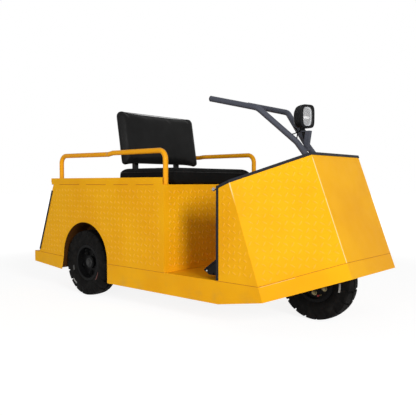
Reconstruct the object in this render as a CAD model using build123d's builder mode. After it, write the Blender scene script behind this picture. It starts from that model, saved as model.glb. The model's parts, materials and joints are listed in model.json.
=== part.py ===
"""Three-wheeled electric baggage tug with handlebar steering.

Millimetres. +X is forward, +Y is the driver's left, +Z is up. The origin lies on the
ground under the middle of the overall length.
"""
from build123d import *
from math import atan2, cos, radians, sin, sqrt
import os

os.makedirs("parts", exist_ok=True)

# Driving lengths along the tug, from the nose back to the tow hitch
FRONT_OVERHANG = 316.0    # nose tip to front axle
WHEELBASE = 1417.0
REAR_OVERHANG = 556.0     # rear axle to the end of the skirt
HITCH_REACH = 87.0        # tow hitch beyond the skirt
COWL_REACH = 303.0        # front axle back to the cowl's rear edge
FOOTWELL_LENGTH = 375.0   # cowl's rear edge back to the box
REAR_LEDGE = 64.0         # ledge of platform behind the box
BOX_RAKE = 157.0          # how far the box's rear edge leans forward
WIDTH = 930.0

LENGTH = FRONT_OVERHANG + WHEELBASE + REAR_OVERHANG + HITCH_REACH
HALF_W = WIDTH / 2
NOSE_X = LENGTH / 2
FRONT_AXLE_X = NOSE_X - FRONT_OVERHANG
REAR_AXLE_X = FRONT_AXLE_X - WHEELBASE
SKIRT_REAR_X = REAR_AXLE_X - REAR_OVERHANG
HITCH_X = -LENGTH / 2
COWL_REAR_X = FRONT_AXLE_X - COWL_REACH
BOX_FRONT_X = COWL_REAR_X - FOOTWELL_LENGTH
BOX_FOOT_X = SKIRT_REAR_X + REAR_LEDGE
BOX_EDGE_TOP_X = BOX_FOOT_X + BOX_RAKE

# Heights of the body
SKIRT_BOTTOM_Z = 109.0
FLOOR_Z = 226.0
REAR_SKIRT_BOTTOM_Z = 173.0
REAR_FLOOR_Z = 245.0
ARCH_REAR_BOTTOM_Z = 147.0
DECK_Z = 706.0
PANEL_TOP_Z = 706.0
LIP_TOP_Z = 745.0
BOX_FOOT_Z = 262.0
BOX_EDGE_TOP_Z = 663.0

# Sheet metal
SHEET = 3.0
BUMPER_T = 6.0
LIP_T = 6.0
TRIM_WRAP = 11.0
TRIM_WALL = 3.0

# Clearances, and how far a cutting outline runs past what it cuts
SEAT_GAP = 0.3        # between pieces that lie against each other
RUNNING_GAP = 0.08    # shaft in its bore
MOVING_GAP = 6.0      # between pieces that move past each other
CUT_REACH = 200.0

# Folded front: heights and setbacks of its fold lines
BEND_TOP_SETBACK = 75.3      # first fold at the cowl's top, ahead of the rear edge
BEND_TOP_Z = 726.0
BEND_FOOT_SETBACK = 338.0    # nose tip back to the first fold at the skirt's foot
BEND_FOOT_Z = 154.0
COWL_REAR_TOP_Z = 697.0
COWL_TOP_SETBACK = 218.4     # nose tip back to the cowl's top edge
COWL_TOP_Z = 859.0
COWL_TOP_HALF = 243.0
NOSE_Z = 275.0
SEAM_NOSE_Z = 348.0
SKIRT_RISE_RUN = 273.0       # length over which the skirt's foot rises to the fold

# Wheels
TYRE_R = 207.5
TYRE_W = 105.0
WHEEL_INSET = 18.0
RIM_R = 101.5
RIM_FLANGE_R = 114.0
BEAD_Y = 34.7          # half the width between the tyre's beads
RIM_T = 4.0
BULGE_R = 148.0        # where the tyre is widest
SHOULDER_HALF = 36.0
LUG_COUNT = 24
LUG_H = 9.0
LUG_W = 30.0
LUG_FOOT_R = 158.0     # where a lug leaves the sidewall
TRACK_Y = HALF_W - WHEEL_INSET - TYRE_W / 2

# Wheel arches
ARCH_R = 227.5
ARCH_FORWARD = 16.0
ARCH_Z = 240.0
ARCH_REAR_FLARE = 22.0
WELL_DEPTH = 137.0

SIDES = (("right", -1), ("left", 1))


def save(piece, label):
    """Label a finished piece and write its STEP file."""
    piece.part.label = label
    export_step(piece.part, f"parts/{label}.step")


def along(p, q, x):
    """Height at x of the straight line through points p and q of a side view."""
    return p[1] + (q[1] - p[1]) * (x - p[0]) / (q[0] - p[0])


# Points of the side view that several sheets share
BEND_TOP = (COWL_REAR_X + BEND_TOP_SETBACK, BEND_TOP_Z)
BEND_FOOT = (NOSE_X - BEND_FOOT_SETBACK, BEND_FOOT_Z)
COWL_TOP = (NOSE_X - COWL_TOP_SETBACK, COWL_TOP_Z)
NOSE_TIP = (NOSE_X, NOSE_Z)
BEND_FLOOR = (BEND_TOP[0] + (BEND_FOOT[0] - BEND_TOP[0]) * (BEND_TOP_Z - FLOOR_Z)
              / (BEND_TOP_Z - BEND_FOOT_Z), FLOOR_Z)
SEAM_NOSE = (NOSE_X - COWL_TOP_SETBACK * (SEAM_NOSE_Z - NOSE_Z) / (COWL_TOP_Z - NOSE_Z), SEAM_NOSE_Z)
BEYOND = NOSE_X + CUT_REACH
BOX_FOOT = (BOX_FOOT_X, BOX_FOOT_Z)
BOX_EDGE_TOP = (BOX_EDGE_TOP_X, BOX_EDGE_TOP_Z)
FLOOR_BREAK = (REAR_AXLE_X, FLOOR_Z)
FLOOR_REAR = (SKIRT_REAR_X, REAR_FLOOR_Z)
ARCH_X = REAR_AXLE_X + ARCH_FORWARD


def side_sheet(points, y_inner, y_outer):
    """Flat sheet parallel to the side, with a side-view outline of straight lines."""
    with BuildPart() as sheet:
        with BuildSketch(Plane.XZ.offset(-y_inner)):
            with BuildLine():
                Polyline(*points, close=True)
            make_face()
        extrude(amount=-(y_outer - y_inner))
    return sheet.part


def arch_solid(grow, y_inner, y_outer):
    """Wheel arch opening as a solid: half round over legs, grown outwards by grow."""
    radius = ARCH_R + grow
    front = ARCH_X + radius
    rear = ARCH_X - radius
    with BuildPart() as arch:
        with BuildSketch(Plane.XZ.offset(-y_inner)):
            with BuildLine():
                ThreePointArc((front, ARCH_Z), (ARCH_X, ARCH_Z + radius), (rear, ARCH_Z))
                Polyline((rear, ARCH_Z), (rear - ARCH_REAR_FLARE, ARCH_REAR_BOTTOM_Z),
                         (rear - ARCH_REAR_FLARE, 0), (front, 0), (front, ARCH_Z))
            make_face()
        extrude(amount=-(y_outer - y_inner))
    return arch.part


def front_form(inset):
    """Body of the folded front, bounded by its side, chamfer and front planes moved in by inset."""
    bend_top = Vector(BEND_TOP[0], HALF_W, BEND_TOP[1])
    along_bend = Vector(BEND_FOOT[0], HALF_W, BEND_FOOT[1]) - bend_top
    along_top = Vector(COWL_TOP[0], COWL_TOP_HALF, COWL_TOP[1]) - bend_top
    chamfer_out = along_top.cross(along_bend).normalized()
    if chamfer_out.Y < 0:
        chamfer_out = chamfer_out * -1
    front_out = Vector(COWL_TOP_Z - NOSE_Z, 0, COWL_TOP_SETBACK).normalized()
    planes = [
        Plane(origin=bend_top, z_dir=chamfer_out),
        Plane(origin=Vector(bend_top.X, -bend_top.Y, bend_top.Z),
              z_dir=Vector(chamfer_out.X, -chamfer_out.Y, chamfer_out.Z)),
        Plane(origin=Vector(COWL_TOP[0], 0, COWL_TOP[1]), z_dir=front_out),
    ]
    with BuildPart() as form:
        with BuildSketch(Plane.XZ):
            with BuildLine():
                Polyline((COWL_REAR_X - CUT_REACH, 0), (BEYOND, 0), (BEYOND, COWL_TOP_Z + CUT_REACH),
                         (COWL_REAR_X - CUT_REACH, COWL_TOP_Z + CUT_REACH), close=True)
            make_face()
        extrude(amount=HALF_W - inset, both=True)
        for plane in planes:
            split(bisect_by=plane.offset(-inset), keep=Keep.BOTTOM)
    return form.part


def side_prism(points, half_width):
    """Side-view outline carried across the tug to both sides."""
    with BuildPart() as prism:
        with BuildSketch(Plane.XZ):
            with BuildLine():
                Polyline(*points, close=True)
            make_face()
        extrude(amount=half_width, both=True)
    return prism.part


def grown_prism(points, grow, half_width):
    """As side_prism, with the outline grown by grow and its corners kept sharp."""
    with BuildPart() as prism:
        with BuildSketch(Plane.XZ):
            with BuildLine():
                Polyline(*points, close=True)
            make_face()
            offset(amount=grow, kind=Kind.INTERSECTION)
        extrude(amount=half_width, both=True)
    return prism.part


# Folded cowl over the front wheel: one bent sheet, open at the top and the rear
COWL_OUTLINE = ((COWL_REAR_X, FLOOR_Z), BEND_FLOOR,
                (BEYOND, along(BEND_FLOOR, SEAM_NOSE, BEYOND)),
                (BEYOND, along(BEND_TOP, COWL_TOP, BEYOND)),
                BEND_TOP, (COWL_REAR_X, COWL_REAR_TOP_Z))

with BuildPart() as cowl_shield:
    add(side_prism(COWL_OUTLINE, WIDTH))
    add(front_form(0), mode=Mode.INTERSECT)
    add(front_form(SHEET), mode=Mode.SUBTRACT)
save(cowl_shield, "cowl_shield")

# Rubber edging along the cowl's rear and top edges
EDGE_FAR_X = BEYOND + CUT_REACH
EDGE_REGION = ((COWL_REAR_X, FLOOR_Z - CUT_REACH), (EDGE_FAR_X, FLOOR_Z - CUT_REACH),
               (EDGE_FAR_X, along(BEND_TOP, COWL_TOP, EDGE_FAR_X)),
               BEND_TOP, (COWL_REAR_X, COWL_REAR_TOP_Z))

with BuildPart() as cowl_trim:
    add(grown_prism(EDGE_REGION, TRIM_WALL, WIDTH))
    add(front_form(-TRIM_WALL), mode=Mode.INTERSECT)
    add(front_form(SHEET + TRIM_WALL), mode=Mode.SUBTRACT)
    add(grown_prism(EDGE_REGION, -TRIM_WRAP, WIDTH), mode=Mode.SUBTRACT)
    add(cowl_shield.part, mode=Mode.SUBTRACT)
    split(bisect_by=Plane.XY.offset(FLOOR_Z + TRIM_WALL), keep=Keep.TOP)
save(cowl_trim, "cowl_trim")

# Skirt round the nose, under the cowl
NOSE_SKIRT_OUTLINE = ((COWL_REAR_X, SKIRT_BOTTOM_Z), (BEND_FOOT[0] - SKIRT_RISE_RUN, SKIRT_BOTTOM_Z),
                      BEND_FOOT, (BEYOND, along(BEND_FOOT, NOSE_TIP, BEYOND)),
                      (BEYOND, along(BEND_FLOOR, SEAM_NOSE, BEYOND)),
                      BEND_FLOOR, (COWL_REAR_X, FLOOR_Z))

with BuildPart() as nose_skirt:
    add(side_prism(NOSE_SKIRT_OUTLINE, WIDTH))
    add(front_form(0), mode=Mode.INTERSECT)
    add(front_form(SHEET), mode=Mode.SUBTRACT)
save(nose_skirt, "nose_skirt")

# Side skirts with the rear wheel arches
SKIRT_REAR_BOTTOM = (SKIRT_REAR_X, REAR_SKIRT_BOTTOM_Z)
ARCH_REAR_FOOT = (ARCH_X - ARCH_R - ARCH_REAR_FLARE, ARCH_REAR_BOTTOM_Z)
SKIRT_OUTLINE = ((COWL_REAR_X, SKIRT_BOTTOM_Z), (COWL_REAR_X, FLOOR_Z), FLOOR_BREAK, FLOOR_REAR,
                 SKIRT_REAR_BOTTOM, (REAR_AXLE_X, along(ARCH_REAR_FOOT, SKIRT_REAR_BOTTOM, REAR_AXLE_X)),
                 (REAR_AXLE_X, SKIRT_BOTTOM_Z))

for side, sign in SIDES:
    with BuildPart() as skirt:
        add(side_sheet(SKIRT_OUTLINE, sign * (HALF_W - SHEET), sign * HALF_W))
        add(arch_solid(0, sign * (HALF_W - 2 * SHEET), sign * (HALF_W + SHEET)), mode=Mode.SUBTRACT)
    save(skirt, f"side_skirt_{side}")

# Box side panels, from the platform to the deck lip, with raked rear edges
EDGE_FOOT_RUN = 7.0       # the rake carried on down to the platform
EDGE_TOP_RUN = 18.0       # the rake carried on up to the panel's top
PANEL_FOOT_X = BOX_FOOT_X - EDGE_FOOT_RUN
PANEL_EDGE_FOOT = (PANEL_FOOT_X, along(FLOOR_BREAK, FLOOR_REAR, PANEL_FOOT_X))
PANEL_OUTLINE = ((BOX_FRONT_X, FLOOR_Z), (BOX_FRONT_X, PANEL_TOP_Z),
                 (BOX_EDGE_TOP_X + EDGE_TOP_RUN, PANEL_TOP_Z), BOX_EDGE_TOP, BOX_FOOT,
                 PANEL_EDGE_FOOT, FLOOR_BREAK)

box_sides = {}
for side, sign in SIDES:
    with BuildPart() as panel:
        add(side_sheet(PANEL_OUTLINE, sign * (HALF_W - SHEET), sign * HALF_W))
        add(arch_solid(0, sign * (HALF_W - 2 * SHEET), sign * (HALF_W + SHEET)), mode=Mode.SUBTRACT)
    box_sides[side] = panel.part
    save(panel, f"box_side_{side}")

# Rubber edging on the raked rear edges of the box sides
EDGE_LEAN = atan2(BOX_EDGE_TOP_X - BOX_FOOT_X, BOX_EDGE_TOP_Z - BOX_FOOT_Z)
EDGE_LENGTH = sqrt(BOX_RAKE ** 2 + (BOX_EDGE_TOP_Z - BOX_FOOT_Z) ** 2)
with BuildPart() as box_trim:
    for side, sign in SIDES:
        middle = Vector((BOX_FOOT_X + BOX_EDGE_TOP_X) / 2, sign * (HALF_W - SHEET / 2),
                        (BOX_FOOT_Z + BOX_EDGE_TOP_Z) / 2)
        edge = Plane(origin=middle, x_dir=Vector(cos(EDGE_LEAN), 0, -sin(EDGE_LEAN)),
                     z_dir=Vector(sin(EDGE_LEAN), 0, cos(EDGE_LEAN)))
        with BuildSketch(edge):
            with Locations(((TRIM_WRAP - TRIM_WALL) / 2, 0)):
                Rectangle(TRIM_WRAP + TRIM_WALL, SHEET + 2 * TRIM_WALL)
        extrude(amount=EDGE_LENGTH / 2, both=True)
        add(box_sides[side], mode=Mode.SUBTRACT)
save(box_trim, "box_trim")

# Driver's floor, from the wheel wells to the toe board
TOE_BOARD_SET_IN = 49.0
TOE_BOARD_X = COWL_REAR_X + TOE_BOARD_SET_IN
WELL_FRONT_X = ARCH_X + ARCH_R + SHEET
WELL_REAR_X = ARCH_X - ARCH_R - ARCH_REAR_FLARE - SHEET
INNER_HALF = HALF_W - SHEET

with BuildPart() as floor_plate:
    with BuildSketch(Plane.XY.offset(FLOOR_Z)):
        with Locations(((TOE_BOARD_X + WELL_FRONT_X) / 2, 0)):
            Rectangle(TOE_BOARD_X - WELL_FRONT_X, 2 * INNER_HALF)
    extrude(amount=-SHEET)
save(floor_plate, "floor_plate")

# Rear platform and the bumper plate across its end
BUMPER_X = SKIRT_REAR_X + BUMPER_T
PLATFORM_TOP = ((WELL_REAR_X, along(FLOOR_BREAK, FLOOR_REAR, WELL_REAR_X)),
                (BUMPER_X, along(FLOOR_BREAK, FLOOR_REAR, BUMPER_X)))

with BuildPart() as rear_platform:
    add(side_prism((PLATFORM_TOP[0], PLATFORM_TOP[1],
                    (PLATFORM_TOP[1][0], PLATFORM_TOP[1][1] - SHEET),
                    (PLATFORM_TOP[0][0], PLATFORM_TOP[0][1] - SHEET)), INNER_HALF))
save(rear_platform, "rear_platform")

with BuildPart() as rear_bumper:
    add(side_prism(((SKIRT_REAR_X, REAR_SKIRT_BOTTOM_Z), (BUMPER_X, REAR_SKIRT_BOTTOM_Z),
                    PLATFORM_TOP[1], (SKIRT_REAR_X, REAR_FLOOR_Z)), INNER_HALF))
save(rear_bumper, "rear_bumper")

# Inner wheel wells: half-round liner and an inner wall with a notch for the axle
WELL_WALL_Y = HALF_W - WELL_DEPTH
WELL_FOOT_RISE = 10.0     # the liner ends this far above the skirt's foot
AXLE_R = 36.0
AXLE_NOTCH = 50.0

for side, sign in SIDES:
    with BuildPart() as well:
        add(arch_solid(SHEET, sign * (WELL_WALL_Y - SHEET), sign * INNER_HALF))
        add(arch_solid(0, sign * WELL_WALL_Y, sign * HALF_W), mode=Mode.SUBTRACT)
        with BuildSketch(Plane.XZ.offset(-sign * (WELL_WALL_Y + SHEET))):
            with Locations((REAR_AXLE_X, TYRE_R - AXLE_NOTCH)):
                SlotOverall(6 * AXLE_NOTCH, 2 * AXLE_NOTCH, rotation=90)
        extrude(amount=sign * 3 * SHEET, mode=Mode.SUBTRACT)
        split(bisect_by=Plane.XY.offset(ARCH_REAR_BOTTOM_Z + WELL_FOOT_RISE), keep=Keep.TOP)
    save(well, f"wheel_well_{side}")

# Box: front panel, raked rear panel with cooling slots
SLOT_COUNT = 5
SLOT_LENGTH = 240.0
SLOT_W = 14.0
SLOT_PITCH = 34.0
REAR_RECESS = 30.0

with BuildPart() as box_front:
    with BuildSketch(Plane.YZ.offset(BOX_FRONT_X)):
        with Locations((0, (FLOOR_Z + DECK_Z - SHEET) / 2)):
            Rectangle(2 * INNER_HALF, DECK_Z - SHEET - FLOOR_Z)
    extrude(amount=-SHEET)
save(box_front, "box_front")

REAR_PANEL_FOOT_Z = along(FLOOR_BREAK, FLOOR_REAR, BOX_FOOT_X)
REAR_PANEL_X = [along((BOX_FOOT_Z, BOX_FOOT_X), (BOX_EDGE_TOP_Z, BOX_EDGE_TOP_X), z) + REAR_RECESS
                for z in (REAR_PANEL_FOOT_Z, DECK_Z - SHEET)]
SLOT_MID_Z = (BOX_FOOT_Z + BOX_EDGE_TOP_Z) / 2

with BuildPart() as box_rear:
    add(side_prism(((REAR_PANEL_X[0], REAR_PANEL_FOOT_Z), (REAR_PANEL_X[1], DECK_Z - SHEET),
                    (REAR_PANEL_X[1] + SHEET, DECK_Z - SHEET),
                    (REAR_PANEL_X[0] + SHEET, REAR_PANEL_FOOT_Z)), INNER_HALF))
    slot_x = along((BOX_FOOT_Z, BOX_FOOT_X), (BOX_EDGE_TOP_Z, BOX_EDGE_TOP_X), SLOT_MID_Z) + REAR_RECESS
    raked = Plane(origin=(slot_x, 0, SLOT_MID_Z), x_dir=(0, -1, 0),
                  z_dir=(-cos(EDGE_LEAN), 0, sin(EDGE_LEAN)))
    with BuildSketch(raked):
        with GridLocations(0, SLOT_PITCH, 1, SLOT_COUNT):
            SlotOverall(SLOT_LENGTH, SLOT_W)
    extrude(amount=4 * SHEET, both=True, mode=Mode.SUBTRACT)
save(box_rear, "box_rear")

# Deck: folded tray with side lips and a rear lip
DECK_OVERHANG = 8.0        # lips run past the box sides' top corner
LIP_REAR_X = BOX_EDGE_TOP_X - DECK_OVERHANG
LIP_CORNER = 14.0          # clipped lower corner at the lips' rear ends
RAIL_R = 14.5
RAIL_SETBACK = 1.0
RAIL_INSET = 7.0
RAIL_Y = HALF_W - LIP_T - RAIL_R - RAIL_INSET
RAIL_FRONT_X = BOX_FRONT_X - RAIL_R - RAIL_SETBACK
LIP_FRONT_X = RAIL_FRONT_X

with BuildPart() as deck_tray:
    with BuildSketch(Plane.XY.offset(DECK_Z)):
        with Locations(((BOX_FRONT_X + LIP_REAR_X) / 2, 0)):
            Rectangle(BOX_FRONT_X - LIP_REAR_X, 2 * INNER_HALF)
    extrude(amount=-SHEET)
    for side, sign in SIDES:
        add(side_sheet(((LIP_REAR_X, DECK_Z - SHEET), (LIP_FRONT_X, DECK_Z - SHEET),
                        (LIP_FRONT_X, LIP_TOP_Z), (LIP_REAR_X, LIP_TOP_Z)),
                       sign * (HALF_W - LIP_T), sign * INNER_HALF))
        add(side_sheet(((LIP_REAR_X, PANEL_TOP_Z + LIP_CORNER), (LIP_REAR_X + LIP_CORNER, PANEL_TOP_Z),
                        (LIP_FRONT_X, PANEL_TOP_Z), (LIP_FRONT_X, LIP_TOP_Z), (LIP_REAR_X, LIP_TOP_Z)),
                       sign * INNER_HALF, sign * HALF_W))
    with BuildSketch(Plane.YZ.offset(LIP_REAR_X)):
        with Locations((0, (DECK_Z - SHEET + LIP_TOP_Z) / 2)):
            Rectangle(2 * INNER_HALF, LIP_TOP_Z - DECK_Z + SHEET)
    extrude(amount=SHEET)
save(deck_tray, "deck_tray")

# Grab rails: bent tube over each side of the deck, with a joggle behind the driver
RAIL_BEND = 50.0
RAIL_Z = 893.0
RAIL_REAR_DROP = 2.0       # the rail's rear end below its front end
JOGGLE_BACK = 452.0
JOGGLE_RUN = 40.0
# side, sign of y, how far back, length, how much taller, depth of the joggle
RAIL_PLACES = (("right", -1, 0.0, 984.0, 0.0, 7.0),
               ("left", 1, 56.0, 852.0, 7.0, 4.0))

for side, sign, back, length, rise, drop in RAIL_PLACES:
    front_x = RAIL_FRONT_X - back
    rear_x = front_x - length
    joggle = front_x - JOGGLE_BACK
    rail_y = sign * RAIL_Y
    front_z = RAIL_Z + rise
    rear_z = front_z - RAIL_REAR_DROP
    with BuildPart() as rail:
        with BuildLine():
            FilletPolyline((rear_x, rail_y, DECK_Z), (rear_x, rail_y, rear_z),
                           (joggle - JOGGLE_RUN, rail_y, front_z - drop), radius=RAIL_BEND)
            Line((joggle - JOGGLE_RUN, rail_y, front_z - drop), (joggle, rail_y, front_z))
            FilletPolyline((joggle, rail_y, front_z), (front_x, rail_y, front_z),
                           (front_x, rail_y, DECK_Z), radius=RAIL_BEND)
        with BuildSketch(Plane(origin=(rear_x, rail_y, DECK_Z), z_dir=(0, 0, 1))):
            Circle(RAIL_R)
        sweep()
        split(bisect_by=Plane.XY.offset(DECK_Z), keep=Keep.TOP)
    save(rail, f"grab_rail_{side}")

# Seat: bench cushion, leaning back cushion and its two bent posts
SEAT_WIDTH = 708.0
SEAT_LENGTH = 506.0
SEAT_THICK = 97.0
SEAT_SETBACK = 30.0
SEAT_CORNER = 26.0
SEAT_EDGE = 14.0
BACK_WIDTH = 681.0
BACK_HEIGHT = 340.0
BACK_THICK = 66.0
BACK_LEAN = 9.5
BACK_FOOT_Z = 834.0
BACK_FRONT_SETBACK = 472.0   # box front back to the back cushion's foot
BACK_CORNER = 42.0
BACK_EDGE = 11.0
POST_SIZE = 28.0
POST_Y = 185.0
POST_BEND = 60.0
POST_GAP = 1.0
POST_REACH = 210.0           # post length behind the cushion

seat_front = BOX_FRONT_X - SEAT_SETBACK
with BuildPart() as seat_cushion:
    with BuildSketch(Plane.XY.offset(DECK_Z + SEAT_GAP)):
        with Locations((seat_front - SEAT_LENGTH / 2, 0)):
            RectangleRounded(SEAT_LENGTH, SEAT_WIDTH, SEAT_CORNER)
    extrude(amount=SEAT_THICK)
    chamfer(seat_cushion.faces().sort_by(Axis.Z)[-1].edges(), SEAT_EDGE)
save(seat_cushion, "seat_cushion")

back_foot = Plane(origin=(BOX_FRONT_X - BACK_FRONT_SETBACK, 0, BACK_FOOT_Z),
                  x_dir=(0, 1, 0), z_dir=(cos(radians(BACK_LEAN)), 0, sin(radians(BACK_LEAN))))
with BuildPart() as back_cushion:
    with BuildSketch(back_foot):
        with Locations((0, BACK_HEIGHT / 2)):
            RectangleRounded(BACK_WIDTH, BACK_HEIGHT, BACK_CORNER)
    extrude(amount=-BACK_THICK)
    chamfer(back_cushion.faces().sort_by(Axis.X)[-1].edges(), BACK_EDGE)
save(back_cushion, "back_cushion")

post_x = (BOX_FRONT_X - BACK_FRONT_SETBACK - BACK_THICK / cos(radians(BACK_LEAN))
          - POST_SIZE / 2 - POST_GAP)
with BuildPart() as back_posts:
    for side, sign in SIDES:
        post_y = sign * POST_Y
        with BuildLine() as post_path:
            FilletPolyline((post_x, post_y, DECK_Z), (post_x, post_y, BACK_FOOT_Z),
                           (post_x - POST_REACH * sin(radians(BACK_LEAN)), post_y,
                            BACK_FOOT_Z + POST_REACH * cos(radians(BACK_LEAN))), radius=POST_BEND)
        with BuildSketch(Plane(origin=(post_x, post_y, DECK_Z), z_dir=(0, 0, 1))):
            Rectangle(POST_SIZE, POST_SIZE)
        sweep(path=post_path.line)
save(back_posts, "back_posts")

# Ladder frame: two kicked-up rails and cross members
FRAME_W = 40.0
FRAME_H = 62.0
FRAME_REAR_H = 54.0
FRAME_WELL_GAP = 55.0     # frame rail to the wheel well's inner wall
FRAME_Y = WELL_WALL_Y - SHEET - FRAME_WELL_GAP - FRAME_W / 2
FRAME_AXLE_GAP = 14.0
KICK_Z = TYRE_R + AXLE_R + FRAME_AXLE_GAP
KICK_FORWARD = 220.0
KICK_FRONT_X = REAR_AXLE_X + KICK_FORWARD
KICK_RUN = 70.0
KICK_REAR_X = WELL_REAR_X + KICK_RUN
FRAME_NOSE_GAP = 8.0
frame_top = FLOOR_Z - SHEET
frame_front = BEND_FOOT[0] - FRAME_NOSE_GAP

for side, sign in SIDES:
    with BuildPart() as frame_rail:
        add(side_sheet(((frame_front, frame_top - FRAME_H), (frame_front, frame_top),
                        (KICK_FRONT_X, frame_top), (KICK_FRONT_X - KICK_RUN, KICK_Z + FRAME_H),
                        (KICK_REAR_X, KICK_Z + FRAME_H),
                        (WELL_REAR_X, PLATFORM_TOP[0][1] - SHEET), (BUMPER_X, PLATFORM_TOP[1][1] - SHEET),
                        (BUMPER_X, PLATFORM_TOP[1][1] - SHEET - FRAME_REAR_H),
                        (WELL_REAR_X, PLATFORM_TOP[0][1] - SHEET - FRAME_REAR_H), (KICK_REAR_X, KICK_Z),
                        (KICK_FRONT_X - KICK_RUN, KICK_Z), (KICK_FRONT_X, frame_top - FRAME_H)),
                       sign * (FRAME_Y - FRAME_W / 2), sign * (FRAME_Y + FRAME_W / 2)))
    save(frame_rail, f"frame_rail_{side}")

CROSS_W = 50.0
TOE_CROSS_BACK = 30.0
BOX_CROSS_BACK = 40.0
KICK_CROSS_FORWARD = 60.0
with BuildPart() as cross_members:
    for cross_x in (TOE_BOARD_X - TOE_CROSS_BACK, BOX_FRONT_X - BOX_CROSS_BACK,
                    KICK_FRONT_X + KICK_CROSS_FORWARD):
        with Locations((cross_x, 0, frame_top - FRAME_H / 2)):
            Box(CROSS_W, 2 * FRAME_Y - FRAME_W, FRAME_H)
save(cross_members, "cross_members")

# Rear axle: tubes, gear housing and saddles under the frame; drive motor in front of it
GEAR_R = 88.0
GEAR_W = 120.0
STUB_R = 15.0
HUB_REACH = 40.0      # hub beyond the rim's middle, on its long side
HUB_OFFSET = 20.0     # and on its short side
SADDLE_LENGTH = 90.0
axle_end = TRACK_Y - HUB_REACH - MOVING_GAP
with BuildPart() as rear_axle:
    with BuildSketch(Plane.XZ):
        with Locations((REAR_AXLE_X, TYRE_R)):
            Circle(AXLE_R)
    extrude(amount=axle_end, both=True)
    with BuildSketch(Plane.XZ):
        with Locations((REAR_AXLE_X, TYRE_R)):
            Circle(GEAR_R)
    extrude(amount=GEAR_W / 2, both=True)
    with BuildSketch(Plane.XZ):
        with Locations((REAR_AXLE_X, TYRE_R)):
            Circle(STUB_R)
    extrude(amount=TRACK_Y + HUB_OFFSET, both=True)
    for side, sign in SIDES:
        with Locations((REAR_AXLE_X, sign * FRAME_Y, (TYRE_R + KICK_Z) / 2)):
            Box(SADDLE_LENGTH, FRAME_W, KICK_Z - TYRE_R)
save(rear_axle, "rear_axle")

MOTOR_R = 75.0
MOTOR_LENGTH = 260.0
MOTOR_GEAR_GAP = 2.0
MOTOR_RISE = 20.0
FLANGE_W = 80.0
FLANGE_H = 70.0
MOTOR_FORWARD = GEAR_R + MOTOR_R + MOTOR_GEAR_GAP
with BuildPart() as drive_motor:
    with BuildSketch(Plane.XZ.offset(-MOTOR_LENGTH / 2)):
        with Locations((REAR_AXLE_X + MOTOR_FORWARD, TYRE_R + MOTOR_RISE)):
            Circle(MOTOR_R)
    extrude(amount=MOTOR_LENGTH)
    with Locations((REAR_AXLE_X + MOTOR_FORWARD / 2, 0, TYRE_R + MOTOR_RISE / 2)):
        Box(MOTOR_FORWARD, FLANGE_W, FLANGE_H)
    add(rear_axle.part, mode=Mode.SUBTRACT)
save(drive_motor, "drive_motor")

# Battery pack inside the box, between its front panel and the motor
BATTERY_W = 400.0
BATTERY_H = 330.0
BATTERY_FRONT_GAP = 30.0
BATTERY_MOTOR_GAP = 44.0
battery_front = BOX_FRONT_X - BATTERY_FRONT_GAP
battery_rear = REAR_AXLE_X + MOTOR_FORWARD + MOTOR_R + BATTERY_MOTOR_GAP
with BuildPart() as battery_pack:
    with Locations(((battery_front + battery_rear) / 2, 0, FLOOR_Z + BATTERY_H / 2)):
        Box(battery_front - battery_rear, BATTERY_W, BATTERY_H)
save(battery_pack, "battery_pack")

# Tow hitch: bolted plate with a two-plate clevis and side cheeks
HITCH_W = 110.0
HITCH_PLATE_T = 12.0
HITCH_GAP = 46.0
HITCH_BASE_W = 190.0
HITCH_CORNER = 8.0
PIN_R = 13.5
PIN_BACKSET = 36.0
hitch_mid_z = (REAR_SKIRT_BOTTOM_Z + REAR_FLOOR_Z) / 2
hitch_face = SKIRT_REAR_X - HITCH_PLATE_T
with BuildPart() as tow_hitch:
    with BuildSketch(Plane.YZ.offset(SKIRT_REAR_X)):
        with Locations((0, hitch_mid_z)):
            RectangleRounded(HITCH_BASE_W, HITCH_GAP + 2 * HITCH_PLATE_T, HITCH_CORNER)
    extrude(amount=-HITCH_PLATE_T)
    for plate_z in (hitch_mid_z - HITCH_GAP / 2 - HITCH_PLATE_T, hitch_mid_z + HITCH_GAP / 2):
        with BuildSketch(Plane.XY.offset(plate_z)):
            with Locations(((hitch_face + HITCH_X + HITCH_W / 2) / 2, 0)):
                Rectangle(hitch_face - HITCH_X - HITCH_W / 2, HITCH_W)
            with Locations((HITCH_X + HITCH_W / 2, 0)):
                Circle(HITCH_W / 2)
        extrude(amount=HITCH_PLATE_T)
    with Locations((HITCH_X + PIN_BACKSET, 0, hitch_mid_z)):
        Cylinder(PIN_R, CUT_REACH, mode=Mode.SUBTRACT)
    split(bisect_by=Plane.YZ.offset(SKIRT_REAR_X), keep=Keep.BOTTOM)
save(tow_hitch, "tow_hitch")

# Toe board and shelf that close the front wheel's space off from the driver
SHELF_Z = 560.0
SHAFT_R = 20.0
HEAD_R = 34.0
with BuildPart() as toe_board:
    add(side_prism(((TOE_BOARD_X, FLOOR_Z - SHEET), (TOE_BOARD_X, SHELF_Z), (BEYOND, SHELF_Z),
                    (BEYOND, SHELF_Z - SHEET), (TOE_BOARD_X + SHEET, SHELF_Z - SHEET),
                    (TOE_BOARD_X + SHEET, FLOOR_Z - SHEET)), WIDTH))
    add(front_form(SHEET), mode=Mode.INTERSECT)
    with Locations((FRONT_AXLE_X, 0, SHELF_Z)):
        Cylinder(HEAD_R + SEAT_GAP, CUT_REACH, mode=Mode.SUBTRACT)
save(toe_board, "toe_board")

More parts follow.
